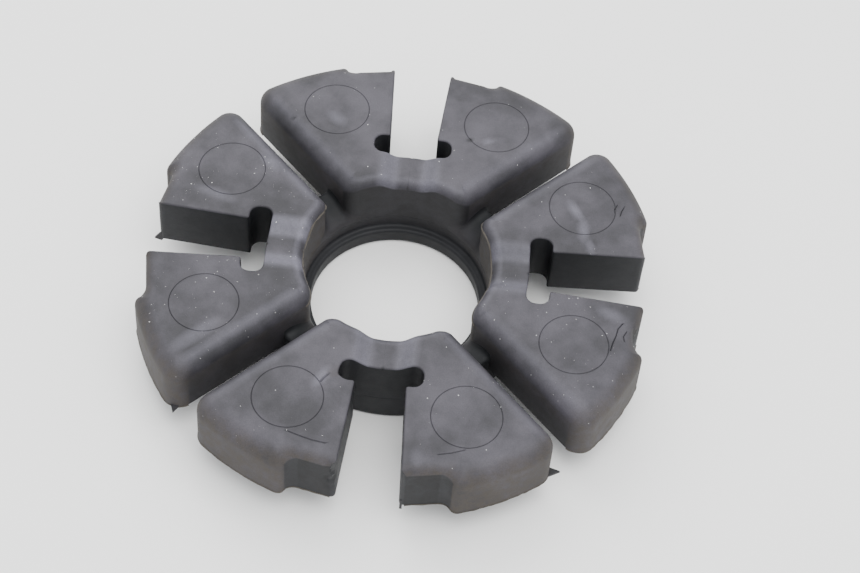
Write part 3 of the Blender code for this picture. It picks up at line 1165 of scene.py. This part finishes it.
@dataclass
class Lobe:
    """One drive lobe with its half of the bridge, in one closed skin."""

    side: Side
    hand: Hand
    plan: LobePlan
    wall_rows: int = 16
    grid: float = 1.1 * MM
    foot_chamfer: float = 0.3 * MM
    seam_chamfer: float = 0.1 * MM
    least_chamfer: float = 0.02 * MM
    line_clearance: float = 0.45 * MM
    least_apart: float = 0.12 * MM
    flash_lift: float = 0.1 * MM
    torn_pitch: float = 0.9 * MM
    fillet_shares: tuple[float, ...] = (0.02, 0.07, 0.15, 0.27, 0.42, 0.60, 0.80, 1.0)
    bend_from: float = 35.0 * MM
    bend_to: float = 43.5 * MM
    neck_turn: float = math.radians(26.7)

    FREE_EDGES = (Edge.OUTER, Edge.END, Edge.HOLLOW, Edge.SLOT, Edge.GAP)
    FILLET_KEPT = 0.9       # a point of a fillet's row goes where another edge is nearer than this share
    RIM_GAP = 0.6           # room between the grid and the rim, as a share of the grid's step
    ROW_GAP = 0.55          # room between the grid and a fillet's rows, the same way
    COARSER = 2.5           # how much coarser the underside's grid is
    TORN_FULL = 1.6         # how soon a dent reaches its full depth
    TORN_FLOOR = 0.75       # mean depth of a dent's ragged floor, as a share of its depth
    TORN_ROUGH = 0.5        # how far the floor strays from that

    @property
    def bore_marks(self) -> dict[str, float]:
        """Marks of the bore's wall: tan dust on the right and left and little of it elsewhere, with painted
        shade that is heavier at the front and back.
        """
        if self.side in (Side.RIGHT, Side.LEFT):
            return {"shade": 0.2, "dust": 0.8}
        return {"shade": 0.6, "dust": 0.3}

    @property
    def node(self) -> str:
        """Name of the node and the body."""
        return f"lobe_{self.side.label}_{self.side.beside(self.hand.value).label}"

    @property
    def wear(self) -> Wear:
        """What age has done to this lobe."""
        return WEAR[self.node]

    def witness(self) -> Groove:
        """The round witness mark."""
        plan = self.plan
        count = 4 * plan.steps(plan.witness_r * QUARTER)
        ring = arc(plan.witness_centre(), plan.witness_r, 0.0, 2 * math.pi, count)[:-1]
        return Groove(tuple(ring), closed=True)

    def build(self) -> bpy.types.Mesh:
        """Builds the skin, still at its slot's own U and V.

        Returns:
            A closed mesh with its marks.
        """
        kit = MeshKit()
        plan = self.plan
        foot_rows, top_rows = plan.outline(0.0), plan.outline(1.0)
        foot = np.array([(s.u, s.v) for s in foot_rows])
        top = np.array([(s.u, s.v) for s in top_rows])
        surface = TopSurface(plan, top_rows)
        rim_heights = surface.height(top)

        rings = self._walls(kit, foot_rows, foot, top, rim_heights)
        self._top(kit, surface, top, rings[-1])
        self._underside(kit, rings[0])
        self._damage(kit)
        return kit.mesh(self.node, mirrored=self.hand is Hand.BEFORE)

    def _wall_marks(self, edge: Edge, rise: float) -> dict[str, float]:
        """Marks of a wall at a share of its height.

        Args:
            edge: which wall.
            rise: the share, 0 at the foot.

        Returns:
            The strengths, with 0 for any mark that is left out.
        """
        # Painted shade darkens the slot, relief and bridge walls, the end face and the hollow, and the gap
        # wall more towards its foot; dust lies on the outer and end faces.
        if edge in (Edge.SLOT, Edge.RELIEF, Edge.BRIDGE):
            return {"shade": 0.85, "dust": 0.05}
        if edge is Edge.OUTER:
            return {"dust": 0.85}
        if edge is Edge.END:
            return {"shade": 0.8, "dust": 0.6}
        if edge is Edge.HOLLOW:
            return {"shade": 0.75, "dust": 0.25}
        if edge is Edge.GAP:
            return {"shade": 0.75 * (1 - rise), "dust": 0.15 + 0.3 * rise}
        return self.bore_marks

    def _walls(self, kit: MeshKit, rows: list[Station], foot: np.ndarray, top: np.ndarray,
               rim: np.ndarray) -> list[list[int]]:
        """Adds the upright walls, from the chamfer at the foot to the rim of the top.

        Args:
            kit: the skin's mesh.
            rows: the foot's stations.
            foot: their places, N by 2.
            top: the places of the same stations at the rim.
            rim: the rim's heights.

        Returns:
            The rows of vertices, from the foot up.
        """
        plan = self.plan
        chamfer = np.array([self.foot_chamfer if s.edge in self.FREE_EDGES else self.seam_chamfer
                            for s in rows])
        chamfer[[i for i, s in enumerate(rows) if s.edge is Edge.SEAM]] = 0.0
        low = foot + inward(foot) * chamfer[:, None]
        rings = [self._ring(kit, rows, low, np.full(len(rows), plan.foot), 0.0)]
        start = plan.foot + np.maximum(chamfer, self.least_chamfer)
        for k in range(self.wall_rows + 1):
            share = k / self.wall_rows
            places = foot + (top - foot) * share
            rings.append(self._ring(kit, rows, places, start + (rim - start) * share, share))
        for lower, upper in zip(rings, rings[1:]):
            kit.bridge(lower, upper)
        return rings

    def _ring(self, kit: MeshKit, rows: list[Station], places: np.ndarray, heights: np.ndarray,
              rise: float) -> list[int]:
        """Adds one closed row of wall vertices.

        Args:
            kit: the skin's mesh.
            rows: the foot's stations.
            places: where they stand, N by 2.
            heights: how high, N of them.
            rise: share of the height, 0 at the foot.

        Returns:
            The new vertices' numbers.
        """
        marks = [self._wall_marks(station.edge, rise) for station in rows]
        points = [(u, v, z) for (u, v), z in zip(places.tolist(), heights.tolist())]
        return list(kit.add(points, {name: [m.get(name, 0.0) for m in marks] for name in MARKS}))

    def _top(self, kit: MeshKit, surface: TopSurface, outline: np.ndarray, rim: list[int]) -> None:
        """Adds the top, down to the rim of the walls.

        Args:
            kit: the skin's mesh.
            surface: the top's height and marks.
            outline: the rim's places, N by 2.
            rim: the rim's vertices.
        """
        grooves = [self.witness(), *self.wear.grooves]
        lines, near_lines = [], []
        for groove in grooves:
            for shift in (-groove.width / 2, 0.0, groove.width / 2):
                line = groove.line(shift)
                lines.append(np.vstack([line, line[:1]]) if groove.closed else line)
            near_lines.append(lines[-2])
        inner = self._inner_points(surface, outline, near_lines)
        points, faces = patched(outline, inner, lines)
        heights = surface.height(points)
        marks = surface.marks(points)
        marks["bloom"] *= self.wear.bloom
        for smear in self.wear.smears:
            marks["bloom"] = np.maximum(marks["bloom"], self._smear_share(smear, points))
        # Each groove is pressed in, and painted shade darkens its floor.
        for groove, line in zip(grooves, near_lines):
            distance, _ = nearest(points, line, np.zeros(len(line)))
            share = np.clip(1 - distance / (groove.width / 2), 0.0, 1.0)
            heights -= groove.depth * share
            marks["crease_shade"] = np.maximum(marks["crease_shade"], groove.darkness * (share > 0.5))
        self._join(kit, rim, points, heights, marks, faces)

    @staticmethod
    def _join(kit: MeshKit, rim: list[int], points: np.ndarray, heights: np.ndarray,
              marks: dict[str, np.ndarray], faces: list[tuple[int, ...]]) -> None:
        """Adds a patch whose first points are the rim's own vertices.

        Args:
            kit: the skin's mesh.
            rim: the rim's vertices.
            points: the patch's places, the rim's first.
            heights: one for each.
            marks: one for each, by the mark's name.
            faces: triangles of points.
        """
        count = len(rim)
        places = [(u, v, z) for (u, v), z in zip(points[count:].tolist(), heights[count:].tolist())]
        new = kit.add(places, {name: values[count:].tolist() for name, values in marks.items()})
        index = [*rim, *new]
        kit.faces.extend(tuple(index[i] for i in face) for face in faces)

    def _inner_points(self, surface: TopSurface, outline: np.ndarray, lines: list[np.ndarray]) -> np.ndarray:
        """Rows that follow the fillets, and an even grid over the rest.

        Args:
            surface: the top's height and marks.
            outline: the rim's places, N by 2.
            lines: lines that the points keep clear of.

        Returns:
            The points, M by 2.
        """
        normals = inward(outline)
        fillets = np.array([station.fillet for station in surface.stations]) * surface.SPREAD
        closed = np.vstack([outline, outline[:1]])
        blank = np.zeros(len(closed))
        rows = []
        for share in self.fillet_shares:
            moved = outline + normals * (fillets * share)[:, None]
            distance, _ = nearest(moved, closed, blank)
            rows.append(moved[(distance > self.FILLET_KEPT * fillets * share) & inside(moved, outline)])
        rows = self._thinned(np.vstack(rows), self.least_apart)
        low, high = outline.min(axis=0), outline.max(axis=0)
        across = np.arange(low[0], high[0], self.grid)
        up = np.arange(low[1], high[1], self.grid * math.sqrt(0.75))
        grid = np.array([(u + (j % 2) * self.grid / 2, v) for j, v in enumerate(up) for u in across])
        grid = grid[inside(grid, outline)]
        distance, _ = nearest(grid, closed, blank)
        grid = grid[distance > self.RIM_GAP * self.grid]
        apart = np.linalg.norm(grid[:, None] - rows[None], axis=2).min(axis=1)
        points = np.vstack([rows, grid[apart > self.ROW_GAP * self.grid]])
        for line in lines:
            distance, _ = nearest(points, line, np.zeros(len(line)))
            points = points[distance > self.line_clearance]
        return points

    def foot_line(self) -> list[Place]:
        """The foot edge from the end face round to the gap, where flash stands proud."""
        keep = (Edge.END, Edge.HOLLOW, Edge.OUTER)
        return [(row.u, self.hand.value * row.v, self.plan.foot + self.flash_lift)
                for row in self.plan.outline(0.0) if row.edge in keep]

    def bore_line(self) -> list[Place]:
        """The top edge of the bore from the nose to the slot plane."""
        rows = self.plan.outline(1.0)
        heights = TopSurface(self.plan, rows).height(np.array([(row.u, row.v) for row in rows]))
        return [(row.u, self.hand.value * row.v, float(z))
                for row, z in zip(rows, heights) if row.edge is Edge.BORE]

    @staticmethod
    def _thinned(points: np.ndarray, apart: float) -> np.ndarray:
        """Keeps one of any points that share a small cell."""
        _, first = np.unique(np.round(points / apart).astype(int), axis=0, return_index=True)
        return points[np.sort(first)]

    @staticmethod
    def _smear_share(smear: Smear, points: np.ndarray) -> np.ndarray:
        """How strongly a smear shows at each point.

        Args:
            smear: the scuff.
            points: N by 2.

        Returns:
            N strengths.
        """
        along = (math.cos(smear.turn), math.sin(smear.turn))
        moved = points - np.array(smear.at)
        x = (moved @ np.array(along)) / smear.size[0]
        y = (moved @ np.array((-along[1], along[0]))) / smear.size[1]
        return smear.strength * np.clip(1 - np.hypot(x, y), 0.0, 1.0) ** 0.7

    def _underside(self, kit: MeshKit, rim: list[int]) -> None:
        """Closes the foot with a flat face.

        Args:
            kit: the skin's mesh.
            rim: the lowest row of the walls.
        """
        plan = self.plan
        outline = np.array([kit.points[i][:2] for i in rim])
        low, high = outline.min(axis=0), outline.max(axis=0)
        step = self.COARSER * self.grid
        grid = np.array([(u, v) for u in np.arange(low[0], high[0], step)
                         for v in np.arange(low[1], high[1], step)])
        grid = grid[inside(grid, outline)]
        distance, _ = nearest(grid, np.vstack([outline, outline[:1]]), np.zeros(len(outline) + 1))
        points, faces = patched(outline, grid[distance > self.RIM_GAP * step], [])
        flat = np.full(len(points), plan.foot)
        # Dust, and painted shade for the underside over the bench.
        marks = {"dust": np.full(len(points), 0.35), "shade": np.full(len(points), 0.3)}
        self._join(kit, rim, points, flat, marks, faces)

    def _damage(self, kit: MeshKit) -> None:
        """Presses the dents in, towards the middle of the lobe, with ragged floors.

        Args:
            kit: the skin's mesh, whose vertices move.
        """
        if not self.wear.dents:
            return
        points = np.array(kit.points)
        middle = np.array([*self.plan.witness_centre(), (self.plan.foot + self.plan.height) / 2])
        for dent in self.wear.dents:
            away = (points - np.array(dent.at)) / np.array(dent.size)
            share = np.clip(1 - np.linalg.norm(away, axis=1), 0.0, 1.0)
            for i in np.nonzero(share)[0]:
                ragged = noise.noise(Vector(points[i]) / self.torn_pitch + Vector((dent.seed, 0.0, 0.0)))
                pull = middle - points[i]
                pull /= np.linalg.norm(pull)
                depth = dent.depth * min(1.0, self.TORN_FULL * share[i])
                depth *= self.TORN_FLOOR + self.TORN_ROUGH * ragged
                points[i] += pull * depth
                # Dust, and painted shade in the dent's floor.
                for name, value in (("dust", dent.dust), ("crease_shade", dent.crease_shade)):
                    kit.marks[name][i] = max(kit.marks[name][i], value * min(1.0, 2 * share[i]))
        kit.points = [tuple(point) for point in points.tolist()]

    def bend(self, piece: bpy.types.Object) -> None:
        """Bakes the piece's transform into its mesh."""
        self.node
        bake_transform(piece)


@dataclass(frozen=True)
class Fin:
    """A thin tab of flash: its flat outline, at U, V and Z of its side's slot, and how far it is thick."""

    outline: tuple[Place, ...]
    thick: Place

    def build(self, name: str) -> bpy.types.Mesh:
        """Builds the tab as a closed prism."""
        kit = MeshKit()
        # Dust, and painted shade on the tab.
        marks = {"shade": 0.6, "dust": 0.3}
        near = list(kit.add(list(self.outline), marks))
        moved = [tuple(a + b for a, b in zip(corner, self.thick)) for corner in self.outline]
        far = list(kit.add(moved, marks))
        kit.faces += [tuple(near), tuple(far)]
        kit.bridge(near, far)
        return kit.mesh(name)


FINS: dict[str, tuple[Fin, ...]] = {
    "lobe_front_right": (
        Fin((mm(65.2, 8.3, 11.0), mm(67.0, 8.38, 11.0), mm(66.8, 8.32, 6.4), mm(65.9, 8.3, 5.6)),
            thick=mm(0, 0.7, 0)),
        Fin((mm(54.6, 44.6, 8.9), mm(51.2, 44.6, 8.9), mm(52.1, 48.6, 8.6)), thick=mm(0, 0, 0.9)),
    ),
    "lobe_left_back": (
        Fin((mm(65.0, -8.3, 11.0), mm(67.2, -8.38, 10.8), mm(68.8, -8.45, 8.4), mm(66.8, -8.32, 7.8)),
            thick=mm(0, -0.6, 0)),
    ),
    "lobe_left_front": (
        Fin((mm(54.6, 44.6, 8.9), mm(51.4, 44.6, 8.9), mm(53.4, 47.6, 8.6)), thick=mm(0, 0, 0.8)),
    ),
}


@dataclass
class LobeSet:
    """The eight lobes, with their wear, their flash and the grit on them."""

    plan: LobePlan
    rubber: bpy.types.Material
    flash: bpy.types.Material
    grit: bpy.types.Material

    def __post_init__(self) -> None:
        """Makes the node trees that the lobes share."""
        self.skin, self.crumbs, self.bead = weathered_tree(), grit_tree(), flash_bead_tree()

    def build(self) -> None:
        """Builds every lobe, lets its flash and fins ride on the lobe's body, and lets each bore flash ride
        on the ring.
        """
        for side in Side:
            pair = [Lobe(side, hand, self.plan) for hand in Hand]
            for lobe in pair:
                self._lobe(lobe)
            if side in (Side.RIGHT, Side.LEFT):
                self._bore_flash(side, pair)

    def _weathered(self, name: str, mesh: bpy.types.Mesh, side: Side, grain: float) -> bpy.types.Object:
        """Turns a mesh to its slot and lets it wander with the rest of the moulding.

        Args:
            name: the piece's name.
            mesh: the piece at U and V.
            side: its slot.
            grain: how far its fine grain stands out.

        Returns:
            The piece, in rubber.
        """
        return self.skin.make(name, mesh, turn=side.turn, wave=0.14 * MM, wave_pitch=11 * MM, grain=grain,
                              grain_pitch=1.6 * MM, seed=2.0, finish=self.rubber)

    def _lobe(self, lobe: Lobe) -> None:
        """Builds one lobe and what is on it.

        Args:
            lobe: the lobe.
        """
        side = lobe.side
        seed = 2.0 * side.value + (lobe.hand is Hand.BEFORE)
        piece = self._weathered(f"{lobe.node}_skin", lobe.build(), side, 0.03 * MM)
        lobe.bend(piece)
        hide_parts(lobe.node, f"bridge_{side.label}")
        report(piece)
        dust = self.crumbs.make(f"{lobe.node}_grit", piece.data.copy(), smallest=0.05 * MM,
                                largest=0.21 * MM, per_square_metre=80000.0 * lobe.wear.grittiness,
                                cluster_pitch=14 * MM, lowest=self.plan.foot + 8 * MM, seed=int(seed) + 11,
                                cluster_seed=seed, finish=self.grit)
        lobe.bend(dust)
        report(dust)
        foot = self.bead.make(f"{lobe.node}_foot_flash", open_line("foot line", lobe.foot_line()),
                              radius=0.26 * MM, step=0.5 * MM, ragged_pitch=2.2 * MM, thinnest=0.45,
                              wave=0.25 * MM, sides=6, turn=side.turn, seed=seed, finish=self.flash)
        self._ride(foot, lobe.node)
        for i, fin in enumerate(FINS.get(lobe.node, ())):
            self._ride(self._weathered(f"{lobe.node}_fin_{i + 1}", fin.build("fin"), side, 0.0), lobe.node)

    def _bore_flash(self, side: Side, pair: list[Lobe]) -> None:
        """Adds the ragged ridge along a bridge's bore edge.

        Args:
            side: the bridge's side.
            pair: the lobes after and before its slot.
        """
        after, before = (lobe.bore_line() for lobe in pair)
        ridge = self.bead.make(f"bridge_{side.label}_flash", open_line("bore line", after + before[::-1]),
                               radius=0.42 * MM, step=0.5 * MM, ragged_pitch=2.6 * MM, thinnest=0.35,
                               wave=0.5 * MM, sides=8, turn=side.turn, seed=20.0 + side.value,
                               finish=self.flash)
        self._ride(ridge, "ring")

    @staticmethod
    def _ride(piece: bpy.types.Object, body: str) -> None:
        """Lets a piece ride on a body."""
        tidy_normals(piece)
        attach(piece, body)
        report(piece)


def open_line(name: str, points: list[Place]) -> bpy.types.Mesh:
    """A mesh of edges from point to point."""
    made = bpy.data.meshes.new(name)
    made.from_pydata(points, [(i, i + 1) for i in range(len(points) - 1)], [])
    return made


# ---------------------------------------------------------------- ring


@dataclass
class GapWeb:
    """The low tie between two bridges at the inner end of a gap, a saddle that falls towards the bore."""

    side: Side
    plan: LobePlan
    top: float = 14.0 * MM
    fall: float = 4.3 * MM
    fall_rate: float = 1.25
    fall_power: float = 1.6
    blend_r: float = 2.4 * MM
    blend_lift: float = 0.8
    outer_edge: float = 1.1 * MM
    bore_edge: float = 0.7 * MM
    embed: float = 0.12 * MM
    around: int = 18
    along: int = 26

    @property
    def node(self) -> str:
        """Name of the node."""
        return f"gap_web_{self.side.label}_{self.side.beside(1).label}"

    def half_width(self, radius: float) -> float:
        """Half the web's width at this radius: the gap's, and wider where the noses draw back.

        Args:
            radius: distance from the axis.

        Returns:
            Half the width.
        """
        plan = self.plan
        back = (plan.bore_r + plan.nose_depth - radius) / plan.nose_depth
        back = min(1.0, max(0.0, back))
        return plan.gap_half + plan.nose_r * (1 - math.sqrt(1 - back ** 2)) + self.embed

    def surface_height(self, radius: float, across: float) -> float:
        """Height of the saddle at this radius, across from -1 to 1.

        Args:
            radius: distance from the axis.
            across: place between the two walls.

        Returns:
            The height.
        """
        plan = self.plan
        run = (radius - plan.bore_r) / (plan.ring_outer_r - plan.bore_r)
        top = self.top - self.fall * (1 - min(1.0, run * self.fall_rate)) ** self.fall_power
        from_wall = (1 - abs(across)) * self.half_width(radius)
        near = max(0.0, 1 - from_wall / self.blend_r)
        rise = self.blend_r * (1 - math.sqrt(1 - near ** 2)) * self.blend_lift
        drop = 0.0
        for distance, size in ((plan.ring_outer_r - radius, self.outer_edge),
                               (radius - plan.bore_r, self.bore_edge)):
            x = max(0.0, 1 - distance / size)
            drop = max(drop, size * (1 - math.sqrt(1 - x ** 2)))
        return top + rise - drop

    def build(self) -> bpy.types.Mesh:
        """Builds the saddle as one closed mesh, along the gap after its side's slot.

        Returns:
            The mesh, in place.
        """
        plan, kit = self.plan, MeshKit()
        turn = self.side.turn + DIAGONAL
        cos_turn, sin_turn = math.cos(turn), math.sin(turn)
        span = plan.ring_outer_r - plan.bore_r
        eased = [(1 - math.cos(math.pi * i / self.along)) / 2 for i in range(self.along + 1)]
        columns = []
        for share in eased:
            radius = plan.bore_r + span * share
            column = []
            for j in range(self.around + 1):
                t = 2 * j / self.around - 1
                side = t * self.half_width(radius)
                u = math.sqrt(radius ** 2 - side ** 2)
                column.append((u * cos_turn - side * sin_turn, u * sin_turn + side * cos_turn,
                               self.surface_height(radius, t)))
            columns.append(column)
        top, low = [], []
        for share, column in zip(eased, columns):
            # Dust, and painted shade that deepens towards the web's outer end, deep in the gap.
            marks = {"shade": 0.45 + 0.5 * min(1.0, 2.0 * share), "dust": 0.35}
            top.append(list(kit.add(column, marks)))
            low.append(list(kit.add([(x, y, plan.foot) for x, y, _ in column], marks)))
        for layer in (top, low):
            for a, b in zip(layer, layer[1:]):
                kit.faces.extend((a[j], a[j + 1], b[j + 1], b[j]) for j in range(self.around))
        kit.bridge(self._rim(low), self._rim(top))
        return kit.mesh(self.node)

    @staticmethod
    def _rim(layer: list[list[int]]) -> list[int]:
        """The outer loop of a grid of vertices."""
        return ([row[0] for row in layer] + layer[-1][1:] +
                [row[-1] for row in layer[-2::-1]] + layer[0][-2:0:-1])


@dataclass
class LocatingBand:
    """The ring below the parting line, with an inward lip at its foot."""

    plan: LobePlan
    lip_r: float = 23.4 * MM
    lip_height: float = 4.85 * MM
    chamfer: float = 0.8 * MM
    parting: float = 0.12 * MM
    lip_round: float = 0.9 * MM
    sides: int = 240

    def profile(self) -> list[Point]:
        """Closed section as radius and height, counterclockwise."""
        plan = self.plan
        outer, bore, top = plan.ring_outer_r, plan.bore_r, plan.foot
        r, c, p = self.lip_round, self.chamfer, self.parting
        section = straight((self.lip_r + c, 0.0), (outer - c, 0.0), 8)
        section += arc((outer - c, c), c, -QUARTER, 0.0, 4)[1:]
        section += straight((outer, c), (outer, top - p), 8)[1:]
        section += straight((outer - p, top), (bore + p, top), 6)
        section += straight((bore, top - p), (bore, self.lip_height + r), 4)
        section += arc((bore - r, self.lip_height + r), r, 0.0, -QUARTER, 4)[1:]
        section += arc((self.lip_r + r, self.lip_height - r), r, QUARTER, math.pi, 5)
        section += straight((self.lip_r, self.lip_height - r), (self.lip_r, c), 10)[1:]
        section += arc((self.lip_r + c, c), c, math.pi, 1.5 * math.pi, 4)[1:-1]
        return section

    def build(self, tree: GeometryTree, finish: bpy.types.Material) -> bpy.types.Object:
        """Sweeps the section round.

        Args:
            tree: the turned ring's tree.
            finish: its rubber.

        Returns:
            The finished piece.
        """
        pitch = self.plan.bore_r
        section = self.profile()
        source = bpy.data.meshes.new("band section")
        edges = [(i, (i + 1) % len(section)) for i in range(len(section))]
        source.from_pydata([(r - pitch, -z, 0.0) for r, z in section], edges, [])
        piece = tree.make("locating_band_skin", source, pitch_radius=pitch, sides=self.sides,
                          wave=0.22 * MM, wave_pitch=14 * MM, seed=5.0, finish=finish)
        self._mark(piece.data)
        return piece

    def _mark(self, mesh: bpy.types.Mesh) -> None:
        """Marks the bore as dusty on the right and left, with painted shade heavier at its front and back,
        and paints heavy shade on the lip, the outside and the rest of the band.

        Args:
            mesh: the band's mesh, which gets the marks.
        """
        points = np.empty(3 * len(mesh.vertices))
        mesh.vertices.foreach_get("co", points)
        x, y, z = points.reshape(-1, 3).T
        radius = np.hypot(x, y)
        bore = (np.abs(radius - self.plan.bore_r) < 1.0 * MM) & (z > self.lip_height + self.lip_round)
        sideways = np.abs(x) / radius
        for name, values in (("dust", np.where(bore, 0.25 + 0.5 * sideways ** 3, 0.12)),
                             ("shade", np.where(bore, 0.65 - 0.4 * sideways ** 3, 0.85))):
            mesh.attributes.new(name, "FLOAT", "POINT").data.foreach_set("value", values.astype(np.float32))


@dataclass
class Ring:
    """What stays still: the locating band and the four gap webs."""

    plan: LobePlan
    rubber: bpy.types.Material

    def build(self) -> None:
        """Builds and rigs the ring's pieces."""
        band = LocatingBand(self.plan).build(turned_ring_tree(), self.rubber)
        tidy_normals(band)
        self._rig(band, "locating_band")
        for side in Side:
            web = GapWeb(side, self.plan)
            mesh = web.build()
            mesh.materials.append(self.rubber)
            piece = bpy.data.objects.new(f"{web.node}_skin", mesh)
            bpy.context.scene.collection.objects.link(piece)
            self._rig(piece, web.node)

    @staticmethod
    def _rig(piece: bpy.types.Object, node: str) -> None:
        """Lets a piece ride on the ring in place of its node."""
        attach(piece, "ring")
        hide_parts(node)
        report(piece)


def tidy_normals(piece: bpy.types.Object) -> None:
    """Turns a closed piece's faces outward and shades it smooth but for its sharp edges.

    Args:
        piece: the piece, whose mesh changes.
    """
    bm = bmesh.new()
    bm.from_mesh(piece.data)
    bmesh.ops.remove_doubles(bm, verts=bm.verts, dist=0.001 * MM)
    bmesh.ops.recalc_face_normals(bm, faces=bm.faces)
    bm.to_mesh(piece.data)
    bm.free()
    piece.data.shade_smooth()
    piece.data.set_sharp_from_angle(angle=SHARP_FROM)


# ---------------------------------------------------------------- studio


@dataclass
class Studio:
    """Pale bench, soft light and the camera."""

    floor_size: float = 3.0
    floor_drop: float = 0.15 * MM
    sky: Colour = (0.95, 0.97, 1.0)
    sky_strength: float = 1.60
    lens: float = 75.25
    stand: Place = (0.01528, -0.28995, 0.41211)
    look_at: Place = (0.00921, 0.00862, 0.0)
    roll: float = math.radians(5.58)

    def build(self) -> None:
        """Sets up everything that isn't the damper."""
        self._floor()
        self._lights()
        self._camera()

    def _floor(self) -> None:
        """A plain pale plane just under the band's wavy foot."""
        mesh = bpy.data.meshes.new("bench")
        half = self.floor_size / 2
        mesh.from_pydata([(-half, -half, 0.0), (half, -half, 0.0), (half, half, 0.0), (-half, half, 0.0)],
                         [], [(0, 1, 2, 3)])
        mesh.materials.append(FloorFinish("bench top").material())
        floor = bpy.data.objects.new("bench", mesh)
        floor.location.z = -self.floor_drop
        bpy.context.scene.collection.objects.link(floor)

    def _lights(self) -> None:
        """A bright soft surround, and broad lamps behind and above."""
        world = bpy.data.worlds.new("surround")
        world.use_nodes = True
        backdrop = world.node_tree.nodes["Background"]
        backdrop.inputs["Color"].default_value = (*self.sky, 1.0)
        backdrop.inputs["Strength"].default_value = self.sky_strength
        bpy.context.scene.world = world
        self._lamp("window", (-0.35, 0.75, 0.85), 0.9, 9.0)
        self._lamp("ceiling", (0.25, -0.15, 1.2), 1.0, 14.0)

    @staticmethod
    def _lamp(name: str, place: Place, size: float, power: float) -> None:
        """Adds a square lamp that faces the damper.

        Args:
            name: the lamp's name.
            place: where it hangs.
            size: length of its side.
            power: watts.
        """
        data = bpy.data.lights.new(name, "AREA")
        data.size = size
        data.energy = power
        lamp = bpy.data.objects.new(name, data)
        lamp.location = place
        lamp.rotation_euler = (-Vector(place)).to_track_quat("-Z", "Y").to_euler()
        bpy.context.scene.collection.objects.link(lamp)

    def _camera(self) -> None:
        """The camera, tilted a little about its own axis."""
        data = bpy.data.cameras.new("camera")
        data.lens = self.lens
        camera = bpy.data.objects.new("camera", data)
        aim = (Vector(self.look_at) - Vector(self.stand)).to_track_quat("-Z", "Y").to_matrix().to_4x4()
        camera.matrix_world = Matrix.Translation(self.stand) @ aim @ Matrix.Rotation(self.roll, 4, "Z")
        bpy.context.scene.collection.objects.link(camera)
        bpy.context.scene.camera = camera


def report(piece: bpy.types.Object) -> None:
    """Logs a finished piece."""
    log.info("%s: %d faces", piece.name, len(piece.data.polygons))


def main() -> None:
    """Builds the damper and its studio."""
    logging.basicConfig(level=logging.INFO, format="%(name)s %(message)s")
    low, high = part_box("lobe_right_back")
    plan = LobePlan(ring_outer_r=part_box("locating_band")[1].x, foot=low.z, height=high.z)
    Studio().build()
    rubber = RubberFinish("lobe rubber").material()
    flash = RubberFinish("dusty flash", body=(0.050, 0.043, 0.035), lighter=(0.085, 0.074, 0.060)).material()
    LobeSet(plan, rubber, flash, GritFinish("dust and lint").material()).build()
    Ring(plan, rubber).build()


if __name__ == "__main__":
    main()
